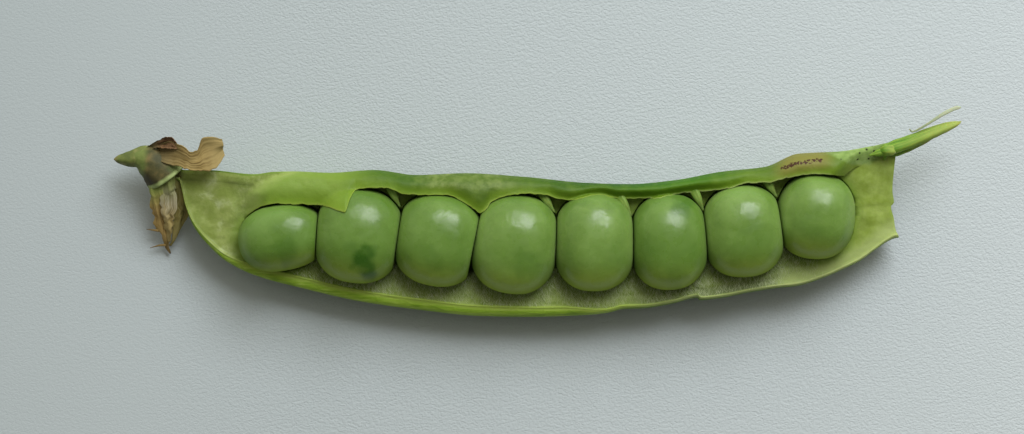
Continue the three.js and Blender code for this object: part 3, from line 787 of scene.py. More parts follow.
lipInset = smoothThrough([
    (-37.5, 0.1), (-36, 0.3), (-32, 0.6), (-26, 1.05), (-18, 1.1), (5, 0.95), (11, 0.35), (41.9, 0.25)])
lipThickness = smoothThrough([(-37.5, 0.15), (-36, 0.3), (-20, 0.25), (20, 0.25), (41.9, 0.25)])
lipRise = smoothThrough([
    (-37.5, 0.2), (-36, 0.5), (-30, 0.7), (-20, 0.75), (-8, 1.0), (8, 1.1), (20.3, 1.3), (20.7, 1.6),
    (30, 1.4), (41.9, 0.7)])
bellyZ = smoothThrough([
    (-37.5, 4.0), (-36.7, 3.9), (-36.2, 2.4), (-33, 1.1), (-29.5, 0.25), (-26, 0), (34, 0), (38, 0.9),
    (41.9, 2.1)])
# how far the lining sags below a straight line from the lip to the upper seam
liningSag = smoothThrough([
    (-37.5, 0.1), (-36, 0.2), (-33, 0.3), (-31.6, 0.25), (-30, 0.4), (-24, 0.6), (-14, 0.8), (28, 0.8),
    (34, 0.25), (37, 0.1), (39, 0.15), (41.9, 0.5)])
stripRise = smoothThrough([
    (-37.5, 0.3), (-33, 0.6), (-29, 0.9), (-26, 1.3), (-18, 1.6), (-14, 1.9), (20, 1.9), (34, 2.0),
    (38, 1.4), (41.9, 0.6)])
# lower edge of the strip
stripEdgeY = smoothThrough([
    (-37.5, 4.75), (-36.7, 4.5), (-36.1, 3.8), (-33, 3.5), (-30.5, 3.1), (-30.15, 2.9), (-29.75, -0.1),
    (-29.0, 0.4), (-27.5, 1.2), (-26.4, 1.5), (-23.3, 1.45), (-20.5, 1.2), (-18.6, 0.65), (-18.2, 0.6),
    (-17.6, 2.2), (-17.1, 3.0), (-15, 3.2), (-13.2, 3.1), (-12.3, 2.7), (-11.2, 2.5), (-7, 2.4),
    (-5.7, 1.9), (-4.2, 0.9), (-3.5, 0.5), (-2.8, 0.9), (-2.3, 1.75), (-0.2, 2.4), (1.1, 2.6), (3, 2.5),
    (6.4, 1.9), (9.7, 2.5), (11.7, 2.1), (15.2, 2.1), (19.6, 2.75), (23.4, 3.1), (26.2, 3.75), (27.8, 3.75),
    (30, 4.3), (33.3, 4.75), (35.4, 4.55), (36.4, 4.5), (37.2, 5.2), (38.3, 5.65), (39.6, 5.85),
    (40.6, 6.6), (41.9, 7.6)])
foldX = smoothThrough([(-0.5, -29.9), (2.4, -29.9), (3.6, -28.8), (4.3, -27.5), (4.9, -26.0)])   # by Y
edgeDrop = smoothThrough([
    (-31, 0.1), (-28, 0.25), (-19, 0.3), (-17, 0.3), (-6, 0.35), (-3, 0.3), (2, 0.45), (7, 0.9), (12, 1.4),
    (20, 1.2), (24, 0.6), (29, 0.35), (34, 0.35), (36, 0.1)])
dropWidth = smoothThrough([(-28, 2.6), (2, 2.2), (8, 1.4), (22, 1.4), (30, 2.0)])
tornEndX = smoothThrough([
    (-2.4, 0.6), (-2.2, 0.55), (-1.2, 0.12), (-0.33, 0.02), (1.2, -0.32), (1.55, 0.0), (2.97, -0.2),
    (6.3, 0.0), (8.2, 0.2)])
stepPlaces = [(-30.5, -29.6), (-18.3, -17.0), (20.2, 20.9)]   # where an edge steps, so sections stand closer
pathParts = {"lip": 8, "side": 26, "flat": 6, "strip": 26, "rounding": 3, "ledge": 15, "nest": 25}


def shellStations():
    count = round((shell["right"] - shell["left"]) / shell["spacing"])
    stations = [np.linspace(shell["left"], shell["right"], count + 1)]
    for low, high in stepPlaces:
        stations.append(np.linspace(low, high, round((high - low) / 0.07)))
    stations = np.sort(np.concatenate(stations))
    return stations[np.append(True, np.diff(stations) > 0.03)]


def quarterArc(t, fromY, fromZ, toY, toZ, pinch):
    # a quarter of a rounded outline: t from 0 at the side to 1 at the middle
    angle = t * math.pi / 2
    side = np.cos(angle).clip(0) ** (2 / shell["outerFullness"])
    middle = np.sin(angle).clip(0) ** (2 / shell["outerFullness"])
    return toY + (fromY - toY) * side, fromZ + (toZ - fromZ) * middle + pinch * np.sin(2 * angle)


def nestLimits(x):
    # lowest and highest Y of the outline of the peas at each section, closed to a point beyond the row
    ys = np.linspace(-9.5, 4.5, 281)[None]
    inside = peaReach(x, ys) < 0.06
    low = np.where(inside, ys, 99).min(1)
    high = np.where(inside, ys, -99).max(1)
    none = ~inside.any(1)
    first, last = np.argmax(~none), len(none) - 1 - np.argmax(~none[::-1])
    middle = np.where(x[:, 0] < 0, (low[first] + high[first]) / 2, (low[last] + high[last]) / 2)
    low = np.where(none, middle - 0.3, low)[:, None]
    high = np.where(none, middle + 0.3, high)[:, None]
    bottom, top = lowerSeamY(x), upperSeamY(x)
    low = np.minimum(low, bottom + 0.5 * (top - bottom))
    high = np.maximum(high, bottom + 0.55 * (top - bottom))
    margin = 0.8
    return np.maximum(low, bottom + margin), np.minimum(high, top - margin)


def liningHeight(x, y):
    # the velvety lining: a sagging sheet that sinks beside the peas and holds them in nests
    low, high = lowerSeamY(x) + lipInset(x), upperSeamY(x) - 0.4
    s = np.clip((y - low) / (high - low), 0, 1)
    lip = lowerSeamZ(x) + lipRise(x) - 0.2
    z = lip + (upperSeamZ(x) - 0.25 - lip) * s - liningSag(x) * 4 * s * (1 - s)
    reach = peaReach(x, y)
    z = z - shell["nestDip"] * (1 - smoothStep(reach, 0.0, shell["nestDipWidth"])) * smoothStep(s, 0, 0.15)
    crease = np.interp(x, [10.4, 19.6, 20.6, 21.3, 25.0, 29.5], [-8.9, -8.1, -8.0, -7.95, -7.35, -6.75])
    z = z - shell["creaseDepth"] * hill(y, crease, shell["creaseWidth"]) * between(x, 10, 12, 28, 30)
    bumps = 0.08 * wanderOver(x, y, 1.3, 9) + 0.04 * wanderOver(x, y, 0.5, 10)
    z = z + bumps * smoothStep(s, 0, 0.1) * (1 - smoothStep(s, 0.9, 1))
    nest = peaHeight(x, y, -1, 0.12) - shell["peaClearance"]
    floor = shell["floorThickness"] + bellyZ(x)
    return np.maximum(np.minimum(z, nest), np.minimum(floor, z))


def stripThickness(x, y):
    atEdge, atSeam = shell["stripThickness"]
    return atEdge + (atSeam - atEdge) * smoothStep(y - stripEdgeY(x), 0.0, 1.4)


def tipWeld(x, y):
    # 1 where the strip has run into the lining beyond the last pea
    return smoothStep(x - 0.8 * (y - 4.5), 34.7, 37.7)


def stripHeight(x, y):
    # upper surface of the strip that is left along the upper seam and lies over the peas
    inward = upperSeamY(x) - y
    t = np.clip(inward / shell["stripReach"], 0, 1)
    z = upperSeamZ(x) + stripRise(x) * (1 - (1 - t) ** 2.2) ** (1 / 2.2)
    z = z - edgeDrop(x) * (1 - smoothStep(y - stripEdgeY(x), 0.0, dropWidth(x))) ** 2
    z = z + (0.09 * wanderOver(x, y, 2.1, 6) + 0.04 * wanderOver(x, y, 0.7, 7)) * smoothStep(inward, 0.3, 1)
    fold = smoothStep(x - foldX(y), 0.1, 3.4)
    # where the strip runs into the lining it dips just under it, save along the seam
    flat = liningHeight(x, y) - 0.04 + 0.08 * (1 - smoothStep(inward, shell["seamThickness"], 1.5))
    z = np.where(x < 0, flat + (z - flat) * fold, z)
    z = z + (np.minimum(z, flat) - z) * tipWeld(x, y)
    over = peaHeight(x, y, 1, 0.0) + shell["peaClearance"] + stripThickness(x, y)
    sharp = 6.0   # how sudden the bend is where the strip comes to rest on the peas
    softened = np.log1p(np.exp(-np.clip(np.abs(z - over) * sharp, 0, 40))) / sharp
    return np.maximum(z, over) + softened * (over > 0)


def roundEdge(first, second, direction):
    # a few points that round the torn edge from one side of the wall to the other
    middle = (first + second) / 2
    half = (first - second) / 2
    radius = np.linalg.norm(half, axis=1)[:, None]
    angles = math.pi * np.arange(1, pathParts["rounding"] + 1) / (pathParts["rounding"] + 1)
    points = [middle + half * math.cos(a) + direction * radius * 0.8 * math.sin(a) for a in angles]
    return np.stack(points, axis=1)


def outerPath(x, lipY, lipZ, edgeY):
    # the outside of each section: the lip, the lower side, the rest flat, the upper side and the strip
    n = pathParts
    lowerY, lowerZ, upperY, upperZ = lowerSeamY(x), lowerSeamZ(x), upperSeamY(x), upperSeamZ(x)
    middleY = (lowerY + upperY) / 2
    rest = np.minimum(shell["restHalfWidth"], 0.2 * (upperY - lowerY))
    pinch = shell["pinchDepth"] * sum(hill(x, contact[0], shell["pinchReach"]) for contact in contacts)
    angle = np.linspace(0, math.pi / 2, n["lip"], endpoint=False)[None]
    flat = np.linspace(0, 1, n["flat"], endpoint=False)[None]
    side = np.linspace(0, 1, n["side"], endpoint=False)[None]
    otherSide = np.linspace(1, 0, n["side"], endpoint=False)[None]
    share = np.linspace(0, 1, n["strip"])[None]
    stripY = upperY - (upperY - edgeY) * (1 - np.cos(share * math.pi / 2))
    pairs = [
        (lowerY + (lipY - lowerY) * (1 - np.sin(angle)), lowerZ + (lipZ - lowerZ) * np.cos(angle)),
        quarterArc(side, lowerY, lowerZ, middleY - rest, bellyZ(x), pinch),
        (middleY - rest + 2 * rest * flat, bellyZ(x) + 0 * flat),
        quarterArc(otherSide, upperY, upperZ, middleY + rest, bellyZ(x), pinch),
        (stripY, stripHeight(np.broadcast_to(x, stripY.shape), stripY)),
    ]
    y, z = (np.concatenate(values, axis=1) for values in zip(*pairs))
    strip = np.concatenate([np.zeros((len(x), y.shape[1] - n["strip"])), share + 0 * x], axis=1)
    return y, z, strip


def innerPath(x, lipY, lipZ, edgeY):
    # the inside of each section: the lining from lip to seam, and the underside of the strip
    n = pathParts
    start = lipY + lipThickness(x)
    seam = np.minimum(shell["seamThickness"], 0.3 * (upperSeamY(x) - lowerSeamY(x)))
    low, high = nestLimits(x)
    top = upperSeamY(x) - seam
    high = np.minimum(high, top - 0.05)
    low = np.maximum(low, start + 0.05)
    beyond = 2 * n["side"] + n["flat"] - n["nest"] - n["ledge"]   # as many points in all as the outside has
    toNest = np.linspace(0, 1, n["lip"] + n["ledge"], endpoint=False)[None]
    nest = np.linspace(0, 1, n["nest"], endpoint=False)[None]
    toSeam = np.linspace(0, 1, beyond, endpoint=False)[None]
    y = np.concatenate([start + (low - start) * toNest ** 1.3,
                        low + (high - low) * (1 - np.cos(math.pi * nest)) / 2,
                        high + (top - high) * toSeam], axis=1)
    z = liningHeight(np.broadcast_to(x, y.shape), y)
    nearLip = np.clip((y - start) / 0.25, 0, 1)
    z = np.minimum(z, lipZ - 0.1 + 0.6 * (y - start))
    z = z + (lipZ - 0.1 - z) * (1 - nearLip) ** 2
    share = np.linspace(0, 1, n["strip"])[None]
    edge = np.minimum(edgeY + 0.05, top - 0.02)
    stripY = top - (top - edge) * (1 - np.cos(share * math.pi / 2))
    across = np.broadcast_to(x, stripY.shape)
    upper = stripHeight(across, stripY)
    lining = liningHeight(across, stripY)
    under = np.maximum(upper - stripThickness(across, stripY), np.minimum(lining + 0.02, upper - 0.08))
    stripZ = lining + (under - lining) * smoothStep(share, 0.0, 0.2)
    strip = np.concatenate([np.zeros_like(y), share + 0 * x], axis=1)
    return np.concatenate([y, stripY], axis=1), np.concatenate([z, stripZ], axis=1), strip


marks = {   # patches of the wall: the X where each starts, is full, starts to fade and ends; and their lines
    "scar": (28.8, 29.6, 33.8, 34.6), "scarWidth": 0.42, "scarHalo": (28.0, 30.4, 33.4, 36.0),
    "scarLine": ([29.0, 30.5, 31.7, 33.0, 34.5], [5.1, 5.65, 5.95, 6.15, 6.25]),
    "membraneFold": ([34.0, 34.8, 37.2, 39.4, 40.6, 42], [7.2, 6.8, 5.75, 5.8, 6.5, 7.4]),
    "fuzz": (-25, -20, 30, 35), "lipBand": (-36, -30, 9, 15), "stripEdge": (-30, -28, 34.5, 35.5),
    # X, width, strength, and the Y between which each pale patch fades in; the patch at -7.6 is a real
    # whitish blotch, those at -2.5 and -25 are painted sheen on the top of the strip
    "paleBlotchesAndSheen": [(-7.6, 2.2, 0.9, 2.8, 3.4), (-2.5, 2.6, 0.6, 2.6, 3.4), (-25, 5, 0.35, 2.6, 4.0)],
}


def wallMarks(x, edgeY, ring, inside, stripShare, half):
    # which part of the wall each point is on, as shares from 0 to 1; half is the number of outer points
    ringX, ringY, ringZ = ring[..., 0], ring[..., 1], ring[..., 2]
    index = np.arange(ring.shape[1])[None]
    steps = np.linalg.norm(np.diff(ring, axis=1), axis=2)
    girth = np.concatenate([np.zeros((len(ring), 1)), np.cumsum(steps, axis=1)], axis=1)
    fromEdge = np.abs(girth - girth[:, half:half + 1])
    fromLip = np.minimum(girth, np.abs(girth[:, -1:] - girth))
    fromSeam = ringY - lowerSeamY(x)
    fromScar = ringY - np.interp(ringX, *marks["scarLine"])
    reach = peaReach(ringX, ringY)
    onStrip = (stripShare > 0.02) * (index < half + 3)
    lining = (inside > 0.5) * (stripShare < 0.01)
    # painted highlight: a pale line along the strip's torn edge where it catches the light; the pale line
    # along the lip is the torn tissue's own colour
    edgeGlint = 0.55 * (1 - smoothStep(fromEdge, 0.06, 0.2)) * between(ringX, *marks["stripEdge"])
    lipRim = 0.8 * (1 - smoothStep(fromLip, 0.1, 0.35)) * (0.15 + 0.85 * smoothStep(ringX, -33, -28))
    greyer = 0.5 * smoothStep(ringX, 11, 14) + 0.5 * smoothStep(ringX, 20.5, 20.8)
    paleBlotchesAndSheen = sum(strength * hill(ringX, middle, width) * smoothStep(ringY, low, high)
                   for middle, width, strength, low, high in marks["paleBlotchesAndSheen"])
    return {
        "inside": inside, "onStrip": onStrip, "along": ringX, "girth": girth,
        "rim": np.maximum(edgeGlint, lipRim),
        "paleRim": smoothStep(x, 11, 19) + 0 * ringX,
        # painted light: a paler band on the slope where the strip folds down by the neck, lifting its shade
        # and standing in for light through the thin fold
        "foldBand": 0.4 * hill(ringX - foldX(ringY), 1.6, 0.9) * (ringX < -20) * (ringY > 0.5),
        # yellower and lighter toward the strip's lower edge: partly the strip's own tone, partly painted
        # light that lifts the shade where the edge turns down
        "stripEdge": 0.5 * (1 - smoothStep(ringY - edgeY, 0.0, 1.6)) * onStrip,
        "scar": onStrip * between(ringX, *marks["scar"]) * hill(fromScar, 0, marks["scarWidth"]),
        "scarHalo": 0.85 * (inside < 0.5) * between(ringX, *marks["scarHalo"])
        * smoothStep(fromScar, -1.5, -0.3) * smoothStep(ringZ, 4.6, 6.4),
        "membrane": smoothStep(ringY - np.interp(ringX, *marks["membraneFold"]), -0.12, 0.12)
        * smoothStep(ringX, 34.0, 36.0) * smoothStep(ringZ, 3.6, 5.0),
        "lowSide": 0.9 * (1 - smoothStep(fromSeam / (upperSeamY(x) - lowerSeamY(x)), 0.25, 0.75)),
        "neck": smoothStep(-ringX, 29.5, 31.5), "tipEnd": smoothStep(ringX, 34.5, 38.5),
        "paleTint": paleBlotchesAndSheen * onStrip,
        # the yellow-green band outside the lower lip: the pod's own colour, painted brighter as painted light
        # where the band faces away from the window
        "lipBand": (1 - smoothStep(fromSeam, 0.9, 1.6)) * (inside < 0.5) * (ringZ > 2.5)
        * between(x, *marks["lipBand"]) * (index < half // 2),
        "greyFlap": 0.7 * lining * greyer * (1 - smoothStep(ringX, 27, 31))
        * (1 - smoothStep(fromSeam, 1.0, 1.6)),
        "paleBand": 0.6 * lining * smoothStep(ringX, 27, 31) * (1 - smoothStep(fromSeam, 1.0, 2.6)),
        # painted shade: the lining is darker and more olive close round the peas
        "nestShade": 0.5 * (1 - smoothStep(reach, 0.1, 1.0)) * inside,
        # where the short hairs stand
        "fuzz": lining * (1 - smoothStep(reach, 1.0, 2.4)) * (reach > 0.03) * (ringY < -2)
        * between(ringX, *marks["fuzz"]),
    }


def makeShell():
    x = shellStations()[:, None]
    ragged = shell["rimRaggedness"] * (0.6 * wander(x, 0.9, 1) + 0.4 * wander(x, 0.35, 2))
    lipY = lowerSeamY(x) + lipInset(x)
    lipZ = lowerSeamZ(x) + lipRise(x) + ragged * smoothStep(x, -20, 22)
    edgeY = stripEdgeY(x) + (0.06 * wander(x, 0.6, 3) + 0.05 * wander(x, 0.25, 4)) * smoothStep(x, -29.5, -28)
    outY, outZ, outStrip = outerPath(x, lipY, lipZ, edgeY)
    inY, inZ, inStrip = innerPath(x, lipY, lipZ, edgeY)
    tear = smoothStep(x, 36, shell["right"])
    outX = x + tear * (tornEndX(outY) + shell["endReach"])
    inX = x + tear * (tornEndX(inY) + shell["endReach"])

    # a rib along the upper seam
    half = outY.shape[1]
    stripStart = half - pathParts["strip"]
    outY = outY + shell["seamRib"] * hill(np.arange(half)[None], stripStart, 2.2) * smoothStep(x, -36, -32)

    outer = np.stack([outX, outY, outZ], axis=2)
    inner = np.stack([inX, inY, inZ], axis=2)[:, ::-1]
    stripRound = roundEdge(outer[:, -1], inner[:, 0], np.array([0.0, -1.0, 0.0]))
    lipRound = roundEdge(inner[:, -1], outer[:, 0], np.array([0.0, 0.0, 1.0]))
    ring = np.concatenate([outer, stripRound, inner, lipRound], axis=1)

    # the strip counts as lining where it has run into it, by the neck and at the torn tip
    sections, around = ring.shape[:2]
    rounding = pathParts["rounding"]
    inside = np.zeros((sections, around))
    inside[:, half + rounding - 1:2 * half + rounding + 1] = 1
    byNeck = (1 - smoothStep(ring[..., 0] - foldX(ring[..., 1]), 0.2, 2.4)) * (ring[..., 0] < -20)
    welded = np.maximum(byNeck, tipWeld(ring[..., 0], ring[..., 1]))
    inside = np.maximum(inside, welded * (np.arange(around) > stripStart + 3)[None])
    stripShare = np.concatenate([outStrip, np.ones((sections, rounding)), inStrip[:, ::-1],
                                 np.zeros((sections, rounding))], axis=1)

    faces = tubeFaces(sections, around, closedEnds=False)
    last = (sections - 1) * around
    for i in range(half - 1):
        quad = (i, i + 1, 2 * half + rounding - 2 - i, 2 * half + rounding - 1 - i)
        faces.append(quad[::-1])
        faces.append(tuple(last + q for q in quad))
    stripEnd = tuple(range(half - 1, half + rounding + 1))
    lipEnd = tuple(range(around - rounding - 1, around)) + (0,)
    for end in (stripEnd, lipEnd):
        faces.append(end)
        faces.append(tuple(last + q for q in end[::-1]))
    piece = meshPiece("podWall", ring, faces, materials["wall"],
                      wallMarks(x, edgeY, ring, inside, stripShare, half))
    outward(piece)
    settle(piece, "pod_shell")
    return piece


podWall = makeShell()
print("shell made:", len(podWall.data.polygons), "faces")


fuzz = {
    "perSquareMm": 60.0, "length": 0.6, "radius": 0.02, "tipRadius": 0.004, "seed": 3,
    # the least and the most that a hair is turned, in radians, and scaled
    "turns": ((-1.5, 0.0, -0.7), (-0.9, 0.0, 0.9)), "sizes": (0.4, 1.25),
}


def makeFuzz():
    # short hairs on the lining beside the peas, which lie toward the peas
    piece = bpy.data.objects.new("liningFuzz", podWall.data.copy())
    bpy.context.scene.collection.objects.link(piece)
    tree = bpy.data.node_groups.new("liningFuzz", "GeometryNodeTree")
    tree.interface.new_socket("Geometry", in_out="INPUT", socket_type="NodeSocketGeometry")
    sockets = {}
    for key in ("perSquareMm", "length", "radius"):
        socket = tree.interface.new_socket(key, in_out="INPUT", socket_type="NodeSocketFloat")
        sockets[key] = socket.identifier
    tree.interface.new_socket("Geometry", in_out="OUTPUT", socket_type="NodeSocketGeometry")
    given = addNode(tree, "NodeGroupInput")
    mask = addNode(tree, "GeometryNodeInputNamedAttribute", {"data_type": "FLOAT", "Name": "fuzz"})
    perMetre = addNode(tree, "ShaderNodeMath", {"operation": "MULTIPLY", 1: metre ** -2},
                       {0: given.outputs["perSquareMm"]})
    density = addNode(tree, "ShaderNodeMath", {"operation": "MULTIPLY"},
                      {0: perMetre.outputs[0], 1: mask.outputs["Attribute"]})
    points = addNode(tree, "GeometryNodeDistributePointsOnFaces",
                     {"distribute_method": "RANDOM", "Seed": fuzz["seed"]},
                     {"Mesh": given.outputs["Geometry"], "Density": density.outputs[0]})
    metres = {}
    for key in ("length", "radius"):
        metres[key] = addNode(tree, "ShaderNodeMath", {"operation": "MULTIPLY", 1: metre},
                              {0: given.outputs[key]})
    hair = addNode(tree, "GeometryNodeMeshCone", {"Vertices": 3, "Side Segments": 1,
                                                  "Radius Top": fuzz["tipRadius"] * metre},
                   {"Radius Bottom": metres["radius"].outputs[0], "Depth": metres["length"].outputs[0]})
    least, most = fuzz["turns"]
    turn = addNode(tree, "FunctionNodeRandomValue", {"data_type": "FLOAT_VECTOR", "Seed": fuzz["seed"] + 1,
                                                     0: least, 1: most})
    least, most = fuzz["sizes"]
    size = addNode(tree, "FunctionNodeRandomValue", {"data_type": "FLOAT", "Seed": fuzz["seed"] + 2,
                                                     2: least, 3: most})
    hairs = addNode(tree, "GeometryNodeInstanceOnPoints", {},
                    {"Points": points.outputs["Points"], "Instance": hair.outputs["Mesh"],
                     "Rotation": turn.outputs["Value"], "Scale": size.outputs[1]})
    real = addNode(tree, "GeometryNodeRealizeInstances", {}, {"Geometry": hairs.outputs["Instances"]})
    painted = addNode(tree, "GeometryNodeSetMaterial", {"Material": materials["hair"]},
                      {"Geometry": real.outputs["Geometry"]})
    addNode(tree, "NodeGroupOutput", {}, {"Geometry": painted.outputs["Geometry"]})
    modifier = piece.modifiers.new("liningFuzz", "NODES")
    modifier.node_group = tree
    for key, identifier in sockets.items():
        modifier[identifier] = fuzz[key]
    depsgraph = bpy.context.evaluated_depsgraph_get()
    mesh = bpy.data.meshes.new_from_object(piece.evaluated_get(depsgraph))
    piece.modifiers.remove(modifier)
    piece.data = mesh
    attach(piece, "root")
    return piece


print("fuzz made:", len(makeFuzz().data.polygons), "faces")


# seed stalks

stalks = [   # root under the strip, middle, and tip in the gap between two peas
    [(-21.7, 3.4, 6.4), (-21.5, 2.3, 6.5), (-21.1, 1.3, 6.0)],
    [(-13.6, 3.9, 6.4), (-12.95, 2.5, 6.7), (-12.3, 1.1, 6.2)],
    [(-4.9, 2.9, 6.4), (-4.4, 2.0, 6.5), (-3.8, 0.9, 6.0)],
    [(3.0, 3.2, 6.2), (3.8, 1.9, 6.7), (4.7, 0.5, 6.2)],
    [(11.4, 3.1, 6.0), (12.3, 1.6, 6.6), (13.15, 0.1, 6.1)],
    [(19.7, 3.6, 6.2), (20.4, 2.2, 6.7), (21.05, 0.7, 6.1)],
    [(27.5, 5.0, 6.4), (28.3, 3.5, 6.8), (29.1, 2.2, 6.3)],
    [(36.0, 6.4, 6.0), (35.7, 5.6, 6.2), (35.3, 4.9, 6.0)],
]
stalkShape = {"root": 0.55, "middle": 0.45, "tip": 0.1, "steps": 14, "around": 16}


def makeStalk(number):
    path = curveThrough(stalks[number], stalkShape["steps"])
    t = np.linspace(0, 1, len(path))
    radii = smoothThrough([(0, stalkShape["root"]), (0.5, stalkShape["middle"]), (1, stalkShape["tip"])])(t)
    part = tubePart(path, radii, stalkShape["around"], flat=0.6, ridges=3, ridgeDepth=0.1)
    piece = mergedPiece(f"seedStalk{number + 1}", [part], materials["stalk"])
    settle(piece, f"funicle_{number + 1}")


for number in range(len(stalks)):
    makeStalk(number)
print("seed stalks made:", len(stalks))


# stem, calyx and sepals

stem = {
    "path": [(-44.0, 6.38, 4.3), (-43.2, 6.4, 4.35), (-42.2, 6.44, 4.4), (-41.4, 6.58, 4.4),
             (-40.6, 6.75, 4.3), (-39.8, 6.8, 4.1)],
    "radii": [(0, 0.08), (0.06, 0.28), (0.2, 0.58), (0.4, 0.9), (0.6, 1.06), (0.8, 1.2), (1, 1.1)],
    "steps": 40, "around": 32,
}
calyx = {
    "path": [(-42.1, 6.45, 4.4), (-41.3, 6.5, 4.4), (-40.5, 6.3, 4.35), (-39.6, 5.9, 4.3), (-38.8, 5.25, 4.1),
             (-38.25, 4.5, 3.85)],
    "radii": [(0, 0.85), (0.2, 1.16), (0.4, 1.66), (0.6, 2.05), (0.8, 2.25), (1, 2.3)],
    # factor on the radius of the mouth by half turns from the reference direction, and how much it waves
    "mouth": [(-1.0, 1.0), (-0.5, 0.95), (0.0, 1.16), (0.5, 1.0), (1.0, 1.0)], "waviness": 0.03,
    "reference": (0.3, 1.0, 0.0), "wall": 0.25, "lipRounding": 0.12, "around": 72, "steps": 40,
    "floorStep": 10,   # the step on the way in from the base at which the bell has its floor
}
# Each sepal lies between two edges that run from its base to its tip. Its crumple is in mm, and its cup and
# fray are shares of its width.
sepals = {
    "sepalUpperFront": {
        "node": "sepal_upper_front", "material": "sepalTan", "crumple": 0.25, "cup": 0.1, "fray": 0.1,
        "first": [(-39.2, 7.6, 5.4), (-38.3, 8.2, 6.3), (-37.4, 8.3, 6.9), (-36.2, 7.8, 7.1),
                  (-35.1, 7.15, 7.3), (-34.35, 7.5, 7.5), (-33.9, 8.65, 7.7), (-32.9, 8.8, 7.5),
                  (-31.8, 8.55, 7.1)],
        "second": [(-39.0, 6.6, 5.6), (-38.2, 6.0, 6.0), (-37.2, 5.75, 6.0), (-35.9, 5.5, 6.4),
                   (-35.0, 5.2, 6.7), (-34.2, 5.1, 6.9), (-33.3, 5.1, 6.9), (-32.3, 5.6, 6.8),
                   (-31.5, 6.8, 6.5)],
    },
    "sepalUpperBack": {
        "node": "sepal_upper_back", "material": "sepalBrown", "crumple": 0.2, "cup": 0.3, "fray": 0.05,
        "first": [(-40.1, 7.7, 4.9), (-39.4, 8.2, 5.8), (-38.5, 8.6, 6.6), (-37.7, 8.9, 7.2),
                  (-37.2, 8.75, 7.4), (-36.8, 8.3, 7.3)],
        "second": [(-39.9, 7.3, 5.2), (-39.2, 7.6, 5.9), (-38.4, 7.7, 6.3), (-37.6, 7.6, 6.7),
                   (-37.1, 7.5, 6.9), (-36.7, 7.5, 6.9)],
    },
    "sepalLowerLeft": {
        "node": "sepal_lower_left", "material": "sepalOchre", "crumple": 0.35, "cup": -0.15, "fray": 0.14,
        "first": [(-40.0, 4.6, 4.2), (-40.15, 3.0, 4.2), (-40.0, 2.1, 4.0), (-39.95, 1.2, 3.6),
                  (-39.7, 0.2, 3.0), (-39.7, -0.9, 2.4), (-39.2, -2.0, 1.8), (-38.8, -3.3, 1.0),
                  (-38.25, -4.1, 0.6)],
        "second": [(-38.8, 4.6, 5.5), (-38.6, 3.1, 5.2), (-38.5, 2.2, 4.7), (-38.4, 1.2, 4.0),
                   (-38.5, 0.2, 3.4), (-38.3, -1.0, 2.7), (-38.2, -2.0, 2.0), (-38.3, -3.1, 1.1),
                   (-38.1, -4.05, 0.5)],
        "spikes": [((-39.3, -1.5, 2.2), (-40.0, -1.45, 2.0), (-40.7, -1.35, 1.9)),
                   ((-38.6, -3.1, 1.3), (-39.5, -3.2, 1.1), (-40.4, -3.45, 1.0))],
    },
    "sepalLowerMiddle": {
        "node": "sepal_lower_middle", "material": "sepalGrey", "crumple": 0.4, "cup": -0.2, "fray": 0.14,
        "first": [(-39.3, 4.5, 5.2), (-39.0, 3.1, 5.1), (-38.85, 2.1, 4.7), (-38.75, 0.8, 4.0),
                  (-38.6, -0.6, 3.3), (-38.45, -1.8, 2.5), (-38.25, -2.8, 1.8)],
        "second": [(-37.3, 4.9, 5.6), (-37.1, 3.4, 5.0), (-37.1, 2.2, 4.4), (-37.3, 0.6, 3.8),
                   (-37.5, -0.6, 3.1), (-37.8, -1.7, 2.4), (-38.1, -2.7, 1.7)],
    },
    "sepalLowerRight": {
        "node": "sepal_lower_right", "material": "sepalOlive", "crumple": 0.35, "cup": -0.15, "fray": 0.16,
        "first": [(-38.0, 4.6, 5.2), (-37.7, 3.3, 4.7), (-37.7, 2.0, 3.8), (-37.7, 0.4, 3.0),
                  (-37.8, -1.2, 2.1), (-38.0, -2.5, 1.4), (-38.25, -3.2, 1.0)],
        "second": [(-36.9, 4.9, 4.6), (-36.4, 4.1, 4.1), (-36.05, 3.0, 3.5), (-35.75, 1.6, 2.7),
                   (-36.0, 0.2, 2.0), (-36.9, -1.2, 1.4), (-38.05, -3.2, 0.9)],
    },
}


def makeStem():
    path = curveThrough(stem["path"], stem["steps"])
    radii = smoothThrough(stem["radii"])(np.linspace(0, 1, len(path)))
    radii = radii * (1 + 0.04 * wander(path[:, 0], 0.5, 11))
    part = tubePart(path, radii, stem["around"], ridges=5, ridgeDepth=0.04)
    piece = mergedPiece("stemStub", [part], materials["stem"])
    settle(piece, "pedicel")


